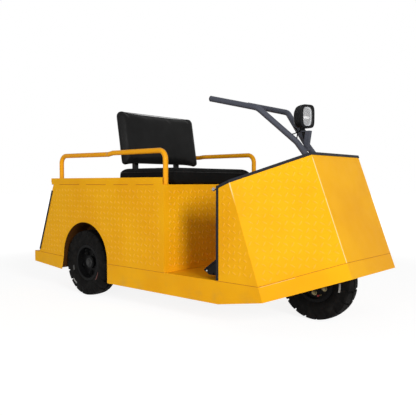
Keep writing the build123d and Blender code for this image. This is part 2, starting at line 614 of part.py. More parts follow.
# Head frame: portal over the front wheel that carries the steering head tube
CROWN_GAP = 26.0      # tyre to the fork's crown
CROWN_Z = 2 * TYRE_R + CROWN_GAP
CROWN_T = 20.0
HEAD_BOTTOM_Z = CROWN_Z + CROWN_T + MOVING_GAP
HEAD_TOP_Z = 760.0
PORTAL_W = 40.0
PORTAL_FOOT_H = 32.0
BEAM_H = 50.0
portal_front = FRONT_AXLE_X + PORTAL_W / 2
beam_z = SHELF_Z - SHEET - BEAM_H / 2
with BuildPart() as head_frame:
    for side, sign in SIDES:
        with Locations((FRONT_AXLE_X, sign * FRAME_Y, (frame_top + SHELF_Z - SHEET) / 2)):
            Box(PORTAL_W, FRAME_W, SHELF_Z - SHEET - frame_top)
        with Locations(((portal_front + frame_front) / 2, sign * FRAME_Y, frame_top - PORTAL_FOOT_H / 2)):
            Box(portal_front - frame_front, FRAME_W, PORTAL_FOOT_H)
    with Locations((FRONT_AXLE_X, 0, beam_z)):
        Box(PORTAL_W, 2 * FRAME_Y - FRAME_W, BEAM_H)
    with Locations((FRONT_AXLE_X, 0, (HEAD_BOTTOM_Z + HEAD_TOP_Z) / 2)):
        Cylinder(HEAD_R, HEAD_TOP_Z - HEAD_BOTTOM_Z)
        Cylinder(SHAFT_R + RUNNING_GAP, HEAD_TOP_Z - HEAD_BOTTOM_Z, mode=Mode.SUBTRACT)
save(head_frame, "head_frame")

# Steering fork: crown, two legs and the shaft
LEG_GAP = 14.0
LEG_T = 12.0
LEG_W = 60.0
LEG_END_R = 31.0
CROWN_LEDGE = 5.0
CROWN_CORNER = 10.0
FRONT_STUB_R = 12.0
YOKE_Z = 806.0
YOKE_T = 12.0
leg_y = TYRE_W / 2 + LEG_GAP
with BuildPart() as fork:
    for side, sign in SIDES:
        with BuildSketch(Plane.XZ.offset(-sign * leg_y)):
            with Locations((FRONT_AXLE_X, (TYRE_R + CROWN_Z) / 2)):
                Rectangle(LEG_W, CROWN_Z - TYRE_R)
            with Locations((FRONT_AXLE_X, TYRE_R)):
                Circle(LEG_END_R)
        extrude(amount=-sign * LEG_T)
    with BuildSketch(Plane.XY.offset(CROWN_Z)):
        with Locations((FRONT_AXLE_X, 0)):
            RectangleRounded(LEG_W + 2 * CROWN_LEDGE, 2 * (leg_y + LEG_T), CROWN_CORNER)
    extrude(amount=CROWN_T)
    with BuildSketch(Plane.XY.offset(CROWN_Z)):
        with Locations((FRONT_AXLE_X, 0)):
            Circle(SHAFT_R)
    extrude(amount=YOKE_Z - CROWN_Z)
    with BuildSketch(Plane.XZ):
        with Locations((FRONT_AXLE_X, TYRE_R)):
            Circle(FRONT_STUB_R + SEAT_GAP)
    extrude(amount=WIDTH, both=True, mode=Mode.SUBTRACT)
save(fork, "steering_fork")

# Front axle bolt with its two nuts
NUT_R = 18.0
NUT_T = 12.0
THREAD_END = 16.0
with BuildPart() as front_axle:
    with BuildSketch(Plane.XZ):
        with Locations((FRONT_AXLE_X, TYRE_R)):
            Circle(FRONT_STUB_R)
    extrude(amount=leg_y + LEG_T + THREAD_END, both=True)
    for side, sign in SIDES:
        with BuildSketch(Plane.XZ.offset(-sign * (leg_y + LEG_T))):
            with Locations((FRONT_AXLE_X, TYRE_R)):
                RegularPolygon(NUT_R, 6)
        extrude(amount=-sign * NUT_T)
save(front_axle, "front_axle")

# Handlebar: two bent tubes on a yoke plate, joined by a bridge bar
BAR_R = 16.0
GRIP_TIP = (-596.0, 174.0, 1190.0)       # back from the steering axis, out, up
GRIP_BEND = (-291.0, 145.0, 1115.5)
ARM_BEND = (-109.0, 43.0, 930.0)
ARM_FOOT = (-3.0, 43.0, 800.0)
BAR_BEND = 60.0
BRIDGE_X = -78.0
BRIDGE_R = 9.0
YOKE_HALF = 64.0
YOKE_LENGTH = 62.0
YOKE_CORNER = 10.0


def bar_point(place, sign):
    """Point of a handlebar tube on one side, in the tug's frame."""
    return (FRONT_AXLE_X + place[0], sign * place[1], place[2])


with BuildPart() as handlebar:
    for side, sign in SIDES:
        with BuildLine() as arm_path:
            FilletPolyline(bar_point(ARM_FOOT, sign), bar_point(ARM_BEND, sign),
                           bar_point(GRIP_BEND, sign), bar_point(GRIP_TIP, sign), radius=BAR_BEND)
        with BuildSketch(Plane(origin=arm_path.line @ 0, z_dir=arm_path.line % 0)):
            Circle(BAR_R)
        sweep(path=arm_path.line)
    split(bisect_by=Plane.XY.offset(YOKE_Z), keep=Keep.TOP)
    bridge_z = along((ARM_FOOT[0], ARM_FOOT[2]), (ARM_BEND[0], ARM_BEND[2]), BRIDGE_X)
    with BuildSketch(Plane.XZ):
        with Locations((FRONT_AXLE_X + BRIDGE_X, bridge_z)):
            Circle(BRIDGE_R)
    extrude(amount=ARM_FOOT[1], both=True)
    with BuildSketch(Plane.XY.offset(YOKE_Z)):
        with Locations((FRONT_AXLE_X, 0)):
            RectangleRounded(YOKE_LENGTH, 2 * YOKE_HALF, YOKE_CORNER)
    extrude(amount=YOKE_T)
save(handlebar, "handlebar")

# Work lamp on a square post that leans forward from the bridge bar
LAMP_POST_X = -64.0      # the post's top
LAMP_POST_SIZE = 25.0
LAMP_POST_TOP_Z = 985.0
POST_SINK = 2.0          # the post is cut to the bridge bar's round
BRACKET_T = 4.0
BRACKET_BACK = 16.0      # bracket plate behind the lamp's neck
NECK_X = -103.0
NECK_LENGTH = 30.0
NECK_W = 24.0
NECK_CORNER = 6.0
NECK_SINK = 14.0
LAMP_W = 90.0
LAMP_H = 123.0
LAMP_D = 86.0
LAMP_BOTTOM_Z = 1002.0
LAMP_REACH = 47.0        # lamp's face ahead of its neck
LAMP_YAW = radians(20.0)     # lamp turned on its neck towards the right
LAMP_CORNER = 28.0
LAMP_BACK_ROUND = 24.0
LAMP_BEZEL = 12.0        # above and below the lens
LAMP_SIDE_BEZEL = 16.0
LENS_RECESS = 3.0
LENS_T = 8.0
bridge_top = bridge_z + BRIDGE_R
post_foot = bridge_top - POST_SINK
post_front = LAMP_POST_X + LAMP_POST_SIZE / 2
bracket_rear = NECK_X - BRACKET_BACK
with BuildPart() as lamp_post:
    with BuildSketch(Plane.XZ):
        with BuildLine():
            Polyline(*[(FRONT_AXLE_X + x + edge * LAMP_POST_SIZE / 2, z)
                       for x, z, edges in ((BRIDGE_X, post_foot, (-1, 1)), (LAMP_POST_X, LAMP_POST_TOP_Z, (1, -1)))
                       for edge in edges], close=True)
        make_face()
    extrude(amount=LAMP_POST_SIZE / 2, both=True)
    with BuildSketch(Plane.XY.offset(LAMP_POST_TOP_Z)):
        with Locations((FRONT_AXLE_X + (bracket_rear + post_front) / 2, 0)):
            Rectangle(post_front - bracket_rear, LAMP_POST_SIZE)
    extrude(amount=BRACKET_T)
    add(handlebar.part, mode=Mode.SUBTRACT)
save(lamp_post, "lamp_post")

# Lamp housing: box with rounded corners and back, a recess for the lens and a neck below
lamp_ahead = Vector(cos(LAMP_YAW), -sin(LAMP_YAW), 0)
lamp_across = Vector(sin(LAMP_YAW), cos(LAMP_YAW), 0)
neck_foot_z = LAMP_POST_TOP_Z + BRACKET_T


def lamp_plane(reach):
    """Upright plane across the turned lamp, reach ahead of the middle of its neck."""
    middle = Vector(FRONT_AXLE_X + NECK_X, 0, LAMP_BOTTOM_Z + LAMP_H / 2)
    return Plane(origin=middle + lamp_ahead * reach, x_dir=lamp_across, z_dir=lamp_ahead)


with BuildPart() as lamp_housing:
    with BuildSketch(lamp_plane(LAMP_REACH)):
        RectangleRounded(LAMP_W, LAMP_H, LAMP_CORNER)
    extrude(amount=-LAMP_D)
    lamp_back = lamp_housing.faces().sort_by(Axis((0, 0, 0), lamp_ahead))[0]
    fillet(lamp_back.edges(), LAMP_BACK_ROUND)
    with BuildSketch(Plane.XY.offset(neck_foot_z)):
        with Locations((FRONT_AXLE_X + NECK_X, 0)):
            RectangleRounded(NECK_LENGTH, NECK_W, NECK_CORNER)
    extrude(amount=LAMP_BOTTOM_Z + NECK_SINK - neck_foot_z)
    with BuildSketch(lamp_plane(LAMP_REACH)):
        RectangleRounded(LAMP_W - 2 * LAMP_SIDE_BEZEL, LAMP_H - 2 * LAMP_BEZEL, LAMP_CORNER - LAMP_BEZEL)
    extrude(amount=-(LENS_RECESS + LENS_T + SEAT_GAP), mode=Mode.SUBTRACT)
save(lamp_housing, "lamp_housing")

with BuildPart() as lamp_lens:
    with BuildSketch(lamp_plane(LAMP_REACH - LENS_RECESS)):
        RectangleRounded(LAMP_W - 2 * (LAMP_SIDE_BEZEL + SEAT_GAP), LAMP_H - 2 * (LAMP_BEZEL + SEAT_GAP),
                         LAMP_CORNER - LAMP_BEZEL - SEAT_GAP)
    extrude(amount=-LENS_T)
save(lamp_lens, "lamp_lens")

# Lamp lead: from the neck to the right arm, with a tie down to the arm and the tie's tail
LEAD_R = 2.5
LEAD_KNOT_R = 3.5
LEAD_NECK = (-103.0, -6.0, 997.0)      # back from the steering axis, out, up
LEAD_TIED = (-114.0, -26.0, 985.0)
LEAD_ARM = (-139.0, -60.0, 972.0)
TIE_ARM = (-109.7, -43.6, 941.6)
TIE_TAIL = (-133.0, -29.0, 1007.0)

with BuildPart() as lamp_lead:
    tied = Vector(FRONT_AXLE_X + LEAD_TIED[0], LEAD_TIED[1], LEAD_TIED[2])
    for x, y, z in (LEAD_NECK, LEAD_ARM, TIE_ARM, TIE_TAIL):
        run = Vector(FRONT_AXLE_X + x, y, z) - tied
        with BuildSketch(Plane(origin=tied, z_dir=run)):
            Circle(LEAD_R)
        extrude(amount=run.length)
    with Locations(tied):
        Sphere(LEAD_KNOT_R)
    for held in (handlebar, lamp_housing):
        add(held.part, mode=Mode.SUBTRACT)
save(lamp_lead, "lamp_lead")

# Two floor pedals: base plate, wedge body and a pad that rises forward to the toe board
PEDAL_W = 80.0
PEDAL_SIDE_GAP = 34.0      # first pedal to the cowl's side sheet
PEDAL_PITCH = 150.0
PEDAL_BASE_T = 18.0
PEDAL_BASE_BACK = 34.0     # base's rear end behind the cowl's rear edge
PEDAL_BODY_BACK = 89.0     # body's lower rear corner
PEDAL_HEEL_BACK = 117.0    # pad's rear tip behind the cowl's rear edge
PEDAL_HEEL_Z = 270.0
PEDAL_TOE_Z = 374.0
PEDAL_PAD_T = 9.0
PEDAL_TOE_GAP = 20.0
PEDAL_BODY_INSET = 4.0
pedal_toe_x = TOE_BOARD_X - PEDAL_TOE_GAP
base_rear = COWL_REAR_X - PEDAL_BASE_BACK
heel_x = COWL_REAR_X - PEDAL_HEEL_BACK
base_top = FLOOR_Z + PEDAL_BASE_T
PEDAL_LAYERS = (
    (((base_rear, FLOOR_Z), (pedal_toe_x, FLOOR_Z), (pedal_toe_x, base_top), (base_rear, base_top)), 0.0),
    (((COWL_REAR_X - PEDAL_BODY_BACK, base_top), (pedal_toe_x, base_top), (pedal_toe_x, PEDAL_TOE_Z - PEDAL_PAD_T),
      (heel_x, PEDAL_HEEL_Z - PEDAL_PAD_T)), PEDAL_BODY_INSET),
    (((heel_x, PEDAL_HEEL_Z), (pedal_toe_x, PEDAL_TOE_Z), (pedal_toe_x, PEDAL_TOE_Z - PEDAL_PAD_T),
      (heel_x, PEDAL_HEEL_Z - PEDAL_PAD_T)), 0.0),
)
with BuildPart() as foot_pedals:
    for place in (0, 1):
        pedal_edge = INNER_HALF - PEDAL_SIDE_GAP - place * PEDAL_PITCH
        for layer, inset in PEDAL_LAYERS:
            add(side_sheet(layer, inset - pedal_edge, PEDAL_W - inset - pedal_edge))
save(foot_pedals, "foot_pedals")

# Brake knob on a short stem behind the right side of the cowl, with the stem's bracket
KNOB_R = 9.5
KNOB_BACK = 38.0
KNOB_Z = 682.0
KNOB_SIDE_GAP = 15.0
KNOB_SIDES = 12
KNOB_ENDS = 25.0           # half angle of the flats on the ball's two ends
STEM_R = 4.0
BRACKET_AHEAD = 14.0
BRACKET_LENGTH = 26.0
BRACKET_FOOT_H = 26.0
BRACKET_FOOT_DROP = 8.5    # bracket's foot stays below the cowl's edging
knob_y = -(INNER_HALF - KNOB_SIDE_GAP)
knob_x = COWL_REAR_X - KNOB_BACK
stem_rear = knob_x + KNOB_R * cos(radians(KNOB_ENDS))
bracket_x = COWL_REAR_X + BRACKET_AHEAD
bracket_foot = KNOB_Z - BRACKET_FOOT_DROP
with BuildPart() as parking_lever:
    with BuildSketch(Plane.YZ.offset(stem_rear)):
        with Locations((knob_y, KNOB_Z)):
            Circle(STEM_R)
    extrude(amount=bracket_x - stem_rear)
    with BuildSketch(Plane.YZ.offset(bracket_x)):
        with BuildLine():
            Polyline((knob_y + STEM_R, KNOB_Z + STEM_R), (knob_y - STEM_R, KNOB_Z + STEM_R),
                     (knob_y - STEM_R, bracket_foot), (-INNER_HALF, bracket_foot),
                     (-INNER_HALF, bracket_foot - BRACKET_FOOT_H),
                     (knob_y + STEM_R, bracket_foot - BRACKET_FOOT_H), close=True)
        make_face()
    extrude(amount=BRACKET_LENGTH)
save(parking_lever, "parking_lever")

with BuildPart() as lever_knob:
    with BuildSketch(Plane.YZ.offset(knob_x)):
        with Locations((knob_y, KNOB_Z)):
            RegularPolygon(KNOB_R, KNOB_SIDES)
    extrude(amount=KNOB_R * cos(radians(KNOB_ENDS)), both=True)
    knob_ends = lever_knob.faces().filter_by(Axis.X).edges()
    chamfer(knob_ends, KNOB_R * (1 - sin(radians(KNOB_ENDS + KNOB_SIDES))))
save(lever_knob, "lever_knob")


# Wheels: tyre with two rows of lugs on a deep-dish rim
CROWN_DROP = 4.0           # the lug's top falls away to the shoulder
LUG_SHOULDER_IN = 1.0
LUG_MIDDLE_HALF = 5.0
LUG_SINK = 2.5             # how deep a lug's root lies in the carcass
CARCASS_SIDES = 40         # flats round the carcass
HUB_R = 40.0
DISC_T = 10.0


def tyre_lug(row):
    """One tread lug on the side row, from the sidewall over the shoulder to near the middle."""
    half = TYRE_W / 2
    root = TYRE_R - LUG_H - LUG_SINK
    with BuildPart() as lug:
        with BuildSketch(Plane.XY):
            with BuildLine():
                Polyline((LUG_FOOT_R, row * (half - 3 * LUG_SINK)),
                         (TYRE_R - CROWN_DROP, row * (half - LUG_SHOULDER_IN)),
                         (TYRE_R, row * LUG_MIDDLE_HALF), (root, row * LUG_MIDDLE_HALF),
                         (root, row * (SHOULDER_HALF - 3 * LUG_SINK)), close=True)
            make_face()
        extrude(amount=LUG_W / 2, both=True)
    return lug.part


def bevelled_ring(half, across, end_across, bevel):
    """Many-sided prism round the Y axis with both its ends bevelled."""
    with BuildPart() as body:
        with BuildSketch(Plane.XZ):
            RegularPolygon(across, CARCASS_SIDES, major_radius=False)
        extrude(amount=half, both=True)
        for end in body.faces().filter_by(Axis.Y):
            chamfer(end.edges(), length=across - end_across, length2=bevel, reference=end)
    return body.part


def tyre_ring():
    """Tyre round the Y axis: hollow carcass and two rows of lugs set half a pitch apart."""
    half = TYRE_W / 2
    lip_r = RIM_FLANGE_R + SEAT_GAP
    with BuildPart() as ring:
        add(bevelled_ring(half, TYRE_R - LUG_H, BULGE_R, half - SHOULDER_HALF))
        with BuildSketch(Plane.XZ):
            RegularPolygon(RIM_R + SEAT_GAP, CARCASS_SIDES, major_radius=False)
        extrude(amount=half, both=True, mode=Mode.SUBTRACT)
        for row in (-1, 1):
            with BuildSketch(Plane.XZ.offset(-row * BEAD_Y)):
                RegularPolygon(lip_r, CARCASS_SIDES, major_radius=False)
            extrude(amount=-row * (half - BEAD_Y), mode=Mode.SUBTRACT)
        for row, turn in ((-1, 0.0), (1, 180.0 / LUG_COUNT)):
            lug = tyre_lug(row)
            add([lug.rotate(Axis.Y, turn + 360.0 * k / LUG_COUNT) for k in range(LUG_COUNT)])
    return ring.part


def rim_disc(bore, hub_y, disc_y):
    """Deep-dish rim: revolved barrel with flanges, a disc at disc_y and a hub with a bore."""
    flange_y = BEAD_Y + SEAT_GAP
    barrel = ((RIM_R, flange_y), (RIM_FLANGE_R, flange_y), (RIM_FLANGE_R, flange_y + RIM_T),
              (RIM_R - RIM_T, flange_y + RIM_T))
    with BuildPart() as rim:
        with BuildSketch(Plane.XY):
            with BuildLine():
                Polyline(*[(r, -y) for r, y in reversed(barrel)], *barrel, close=True)
            make_face()
            with BuildLine():
                Polyline((bore, disc_y - DISC_T / 2), (RIM_R - RIM_T / 2, disc_y - DISC_T / 2),
                         (RIM_R - RIM_T / 2, disc_y + DISC_T / 2), (bore, disc_y + DISC_T / 2), close=True)
            make_face()
            with BuildLine():
                Polyline((bore, hub_y[0]), (HUB_R, hub_y[0]), (HUB_R, hub_y[1]), (bore, hub_y[1]), close=True)
            make_face()
        revolve(axis=Axis.Y)
    return rim.part


TYRE = tyre_ring()
REAR_DISC_Y = 4.0
FRONT_DISC_Y = -20.0
HUB_LEG_GAP = 1.0
FRONT_HUB = leg_y - HUB_LEG_GAP
WHEELS = (
    ("front", (FRONT_AXLE_X, 0, TYRE_R), FRONT_STUB_R, (-FRONT_HUB, FRONT_HUB), FRONT_DISC_Y),
    ("rear_right", (REAR_AXLE_X, -TRACK_Y, TYRE_R), STUB_R, (-HUB_OFFSET, HUB_REACH), REAR_DISC_Y),
    ("rear_left", (REAR_AXLE_X, TRACK_Y, TYRE_R), STUB_R, (-HUB_REACH, HUB_OFFSET), -REAR_DISC_Y),
)
for label, centre, stub, hub_y, disc_y in WHEELS:
    with BuildPart() as tyre:
        add(TYRE.moved(Location(centre)))
    save(tyre, f"{label}_tyre")
    with BuildPart() as rim:
        add(rim_disc(stub + RUNNING_GAP, hub_y, disc_y).moved(Location(centre)))
    save(rim, f"{label}_rim")
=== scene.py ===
"""Looks of a three-wheeled electric baggage tug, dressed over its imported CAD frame.

Lengths are metres in the vehicle's own frame: +X forward, +Y the driver's left, +Z up, the ground at z = 0.
"""

import json
import logging
import math
from dataclasses import dataclass, replace
from enum import Enum, IntEnum

import bmesh
import bpy
import numpy as np
from mathutils import Matrix, Vector
from mathutils.bvhtree import BVHTree


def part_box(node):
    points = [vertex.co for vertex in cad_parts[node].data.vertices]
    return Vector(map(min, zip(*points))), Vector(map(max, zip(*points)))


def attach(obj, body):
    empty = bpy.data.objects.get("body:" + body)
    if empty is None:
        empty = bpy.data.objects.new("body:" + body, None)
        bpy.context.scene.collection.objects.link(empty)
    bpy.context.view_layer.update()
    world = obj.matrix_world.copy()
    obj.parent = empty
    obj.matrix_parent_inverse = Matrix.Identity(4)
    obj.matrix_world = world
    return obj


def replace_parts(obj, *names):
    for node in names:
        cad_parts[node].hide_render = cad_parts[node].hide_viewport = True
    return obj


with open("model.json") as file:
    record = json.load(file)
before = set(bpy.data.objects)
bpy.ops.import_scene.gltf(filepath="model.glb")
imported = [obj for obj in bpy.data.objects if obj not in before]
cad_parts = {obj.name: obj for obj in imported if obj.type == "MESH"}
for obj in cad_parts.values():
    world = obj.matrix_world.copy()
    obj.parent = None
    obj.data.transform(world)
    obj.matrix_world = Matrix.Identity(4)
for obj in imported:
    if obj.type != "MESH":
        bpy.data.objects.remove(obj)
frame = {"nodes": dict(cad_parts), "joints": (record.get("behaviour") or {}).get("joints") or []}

Array = np.ndarray
Socket = bpy.types.NodeSocket
Colour = tuple[float, float, float]
Point = tuple[float, float, float]
Profile = list[tuple[float, float]]
log = logging.getLogger("tug")

NODES: dict[str, bpy.types.Object] = frame["nodes"]
JOINTS: dict[str, dict] = {joint["name"]: joint for joint in frame["joints"]}
UPWARDS: Point = (0.0, 0.0, 1.0)
TINY = 1e-9


class Body(Enum):
    """The bodies that a piece can ride on, by their names in the frame."""

    CHASSIS = "chassis"
    STEERING = "steering"
    FRONT_WHEEL = "front_wheel"
    REAR_RIGHT_WHEEL = "rear_right_wheel"
    REAR_LEFT_WHEEL = "rear_left_wheel"


class Side(IntEnum):
    """The vehicle's two sides, each as the sign of its y."""

    RIGHT = -1
    LEFT = 1


class Setting(Enum):
    """The two ways a cushion is set in the seat."""

    LYING = "lying"
    UPRIGHT = "upright"


def corners(node: str) -> tuple[Array, Array]:
    """Gives the lowest and highest corner of a CAD node.

    Args:
        node: the CAD node's name.
    Returns:
        Two points of three numbers.
    """
    low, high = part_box(node)
    return np.array(low), np.array(high)


# Shaders

# Noise seldom leaves the first span, and the second one cuts it into soft patches.
NOISE_SPAN = (0.3, 0.7)
PATCH_SPAN = (0.35, 0.7)

# The places of the Mix node's two colour inputs and its colour output.
MIX_FIRST, MIX_SECOND, MIX_RESULT = 6, 7, 2


class Shader:
    """A material's node tree, written in short steps over Object coordinates."""

    def __init__(self, name: str) -> None:
        """Starts the material with its Principled shader.

        Args:
            name: the material's name.
        """
        self.material = bpy.data.materials.new(name)
        self.material.use_nodes = True
        self.tree = self.material.node_tree
        self.surface = self.tree.nodes["Principled BSDF"]
        self.place = self.tree.nodes.new("ShaderNodeTexCoord").outputs["Object"]

    def node(self, kind: str, attributes: dict | None = None, **inputs: object) -> bpy.types.Node:
        """Adds a node.

        Args:
            kind: the node's type.
            attributes: plain settings of the node.
            **inputs: sockets by name, with underscores for spaces, each a value or another socket.
        Returns:
            The new node.
        """
        made = self.tree.nodes.new(kind)
        for name, value in (attributes or {}).items():
            setattr(made, name, value)
        for name, value in inputs.items():
            self.feed(made.inputs[name.replace("_", " ")], value)
        return made

    def feed(self, socket: Socket, value: object) -> None:
        """Links a socket to another one, or sets its value.

        Args:
            socket: the input to feed.
            value: another socket or a plain value.
        """
        if isinstance(value, Socket):
            self.tree.links.new(value, socket)
        else:
            socket.default_value = value

    def set(self, **inputs: object) -> None:
        """Sets or links sockets of the Principled shader, named with underscores for spaces."""
        for name, value in inputs.items():
            self.feed(self.surface.inputs[name.replace("_", " ")], value)

    def stretched(self, scale: Point) -> Socket:
        """Object coordinates times a scale for each axis."""
        return self.node("ShaderNodeMapping", Vector=self.place, Scale=scale).outputs["Vector"]

    def noise(self, scale: float, detail: float = 2.0, place: Socket | None = None) -> Socket:
        """Smooth noise from 0 to 1, scale bumps to the metre."""
        made = self.node("ShaderNodeTexNoise", Vector=place or self.place, Scale=scale, Detail=detail)
        return made.outputs["Fac"]

    def span(self, value: Socket, low: float, high: float, to_low: float = 0.0,
             to_high: float = 1.0) -> Socket:
        """Maps low..high of a value smoothly to to_low..to_high, held at both ends.

        Args:
            value: what is mapped.
            low: the value that gives to_low.
            high: the value that gives to_high.
            to_low: the result up to low.
            to_high: the result from high on.
        Returns:
            The mapped value.
        """
        made = self.node("ShaderNodeMapRange", {"interpolation_type": "SMOOTHSTEP"}, Value=value)
        made.inputs["From Min"].default_value, made.inputs["From Max"].default_value = low, high
        made.inputs["To Min"].default_value, made.inputs["To Max"].default_value = to_low, to_high
        return made.outputs["Result"]

    def math(self, operation: str, first: Socket, second: Socket) -> Socket:
        """Works one sum on two values.

        Args:
            operation: the sum's name.
            first: the first value.
            second: the second value.
        Returns:
            The sum's result.
        """
        made = self.node("ShaderNodeMath", {"operation": operation})
        self.feed(made.inputs[0], first)
        self.feed(made.inputs[1], second)
        return made.outputs[0]

    def vector(self, operation: str, first: Socket, second: Point = (0.0, 0.0, 0.0),
               out: str = "Vector") -> Socket:
        """Works one sum on two vectors.

        Args:
            operation: the sum's name.
            first: the first vector.
            second: the second vector.
            out: the output that is read, Vector or Value.
        Returns:
            The sum's result.
        """
        made = self.node("ShaderNodeVectorMath", {"operation": operation})
        self.feed(made.inputs[0], first)
        self.feed(made.inputs[1], second)
        return made.outputs[out]

    def mix(self, factor: Socket, first: Socket | Colour, second: Socket | Colour) -> Socket:
        """Blends two colours.

        Args:
            factor: 0 gives the first colour, and 1 the second.
            first: the first colour.
            second: the second colour.
        Returns:
            The blended colour.
        """
        made = self.node("ShaderNodeMix", {"data_type": "RGBA"})
        self.feed(made.inputs[0], factor)
        for number, value in ((MIX_FIRST, first), (MIX_SECOND, second)):
            self.feed(made.inputs[number], value if isinstance(value, Socket) else (*value, 1.0))
        return made.outputs[MIX_RESULT]

    def height(self) -> Socket:
        """The Object coordinates' z."""
        return self.node("ShaderNodeSeparateXYZ", Vector=self.place).outputs["Z"]

    def off_line(self, start: Point, end: Point) -> Socket:
        """Measures the distance to an endless line: the length of (place - start) x direction.

        Args:
            start: a point on the line.
            end: another point on it.
        Returns:
            The distance.
        """
        direction = (Vector(end) - Vector(start)).normalized()
        offset = self.vector("SUBTRACT", self.place, start)
        return self.vector("LENGTH", self.vector("CROSS_PRODUCT", offset, tuple(direction)), out="Value")

    def off_point(self, centre: Point) -> Socket:
        """The distance to a point."""
        return self.vector("LENGTH", self.vector("SUBTRACT", self.place, centre), out="Value")

    def bump(self, height: Socket, distance: float, strength: float) -> None:
        """Stacks one more relief on the shader's normal.

        Args:
            height: the relief, from 0 to 1.
            distance: how deep it is.
            strength: the share of it that shows.
        """
        made = self.node("ShaderNodeBump", Height=height, Distance=distance, Strength=strength)
        before = self.surface.inputs["Normal"]
        if before.is_linked:
            self.feed(made.inputs["Normal"], before.links[0].from_socket)
        self.feed(before, made.outputs["Normal"])


# Finishes


@dataclass(frozen=True)
class Finish:
    """What every finish has: a colour, its roughness, and its specular level as gloss."""

    name: str
    slot: str
    colour: Colour
    roughness: float
    metallic: float = 0.0
    gloss: float = 0.5

    def material(self) -> bpy.types.Material:
        """Makes the finish's material once, and gives the same one from then on.

        Returns:
            The material.
        """
        made = bpy.data.materials.get(self.name)
        if made is None:
            shader = Shader(self.name)
            shader.set(Metallic=self.metallic, Specular_IOR_Level=self.gloss)
            self.dress(shader)
            made = shader.material
        return made

    def dress(self, shader: Shader) -> None:
        """Paints the surface, each kind of finish in its own way."""
        raise NotImplementedError

    def shaded(self, *shares: float) -> Colour:
        """The colour times one share, or times a share for each of red, green and blue."""
        return tuple(share * c for share, c in zip(shares * 3, self.colour))

    def uneven(self, shader: Shader, pattern: Socket, smoother: float, rougher: float) -> Socket:
        """The roughness, which wanders with a pattern from a little smoother to a little rougher."""
        return shader.span(pattern, *NOISE_SPAN, self.roughness - smoother, self.roughness + rougher)


@dataclass(frozen=True)
class FoldWearAndHighlight:
    """A sheet-metal fold with a pale mark along it, partly paint wear and partly a painted highlight where
    the fold catches the light: patchy, and fading in between two heights.
    """

    start: Point
    end: Point
    half_width: float
    patchiness: float
    fading: tuple[float, float]


@dataclass(frozen=True)
class GlossPaint(Finish):
    """Sprayed gloss paint on folded sheet: orange peel, a slow waviness, pale folds of paint wear and painted
    highlight, chips and road dust.
    """

    folds: tuple[FoldWearAndHighlight, ...] = ()
    chips: tuple[Point, ...] = ()
    # The pale colour along folds: paint wear, and a painted highlight where a fold catches the light.
    wear_and_highlight_colour: Colour = (0.98, 0.72, 0.30)
    dust: Colour = (0.50, 0.30, 0.07)
    bare: Colour = (0.36, 0.24, 0.16)
    deeper: Colour = (0.93, 0.86, 0.8)
    dust_heights: tuple[float, float] = (0.26, 0.10)
    dust_cover: float = 0.3
    chip_radii: tuple[float, float] = (0.014, 0.004)
    chip_cover: float = 0.5
    coat: float = 0.04
    coat_roughness: float = 0.1

    def dress(self, shader: Shader) -> None:
        """Paints the sheet, with dust below and pale folds (paint wear and painted highlight) and chips over
        it.

        Args:
            shader: the material being made.
        """
        clouds = shader.span(shader.noise(3.0, detail=3.0), *PATCH_SPAN)
        colour = shader.mix(clouds, self.colour, self.shaded(*self.deeper))
        low_down = shader.span(shader.height(), *self.dust_heights)
        speckle = shader.span(shader.noise(14.0, detail=4.0), 0.45, 0.8, to_high=self.dust_cover)
        colour = shader.mix(shader.math("MULTIPLY", low_down, speckle), colour, self.dust)
        for fold in self.folds:
            colour = shader.mix(self.fold_wear_and_highlight(shader, fold), colour, self.wear_and_highlight_colour)
        for chip in self.chips:
            bared = shader.span(shader.off_point(chip), *self.chip_radii, to_high=self.chip_cover)
            colour = shader.mix(bared, colour, self.bare)
        shader.set(Base_Color=colour, Coat_Weight=self.coat, Coat_Roughness=self.coat_roughness,
                   Roughness=self.uneven(shader, shader.noise(24.0, detail=3.0), 0.05, 0.07))
        shader.bump(shader.noise(420.0, detail=1.0), distance=0.00012, strength=0.25)
        shader.bump(shader.noise(7.0, detail=1.0), distance=0.004, strength=0.05)

    def fold_wear_and_highlight(self, shader: Shader, fold: FoldWearAndHighlight) -> Socket:
        """Tells how pale the paint is beside a fold, as paint wear and painted highlight: nearness to its
        line, times patches, times the fading.

        Args:
            shader: the material being made.
            fold: the worn fold.
        Returns:
            A share from 0 to 1.
        """
        near = shader.span(shader.off_line(fold.start, fold.end), fold.half_width, 0.4 * fold.half_width)
        low, high = 0.5 * fold.patchiness, 0.1 + 0.6 * fold.patchiness
        patches = shader.span(shader.noise(16.0, detail=3.0), low, high)
        shown = shader.math("MULTIPLY", patches, shader.span(shader.height(), *fold.fading))
        return shader.math("MULTIPLY", near, shown)


@dataclass(frozen=True)
class Grained(Finish):
    """Moulded or coated stuff with a fine grain, whose colour is mottled down to a share of itself."""

    grain: float = 900.0
    mottle: float = 0.75

    def dress(self, shader: Shader) -> None:
        """Paints the colour, then presses the grain into it.

        Args:
            shader: the material being made.
        """
        colour = shader.mix(shader.noise(25.0, detail=4.0), self.colour, self.shaded(self.mottle))
        shader.set(Base_Color=colour,
                   Roughness=self.uneven(shader, shader.noise(60.0, detail=3.0), 0.05, 0.05))
        shader.bump(shader.noise(self.grain, detail=3.0), distance=0.0003, strength=0.5)


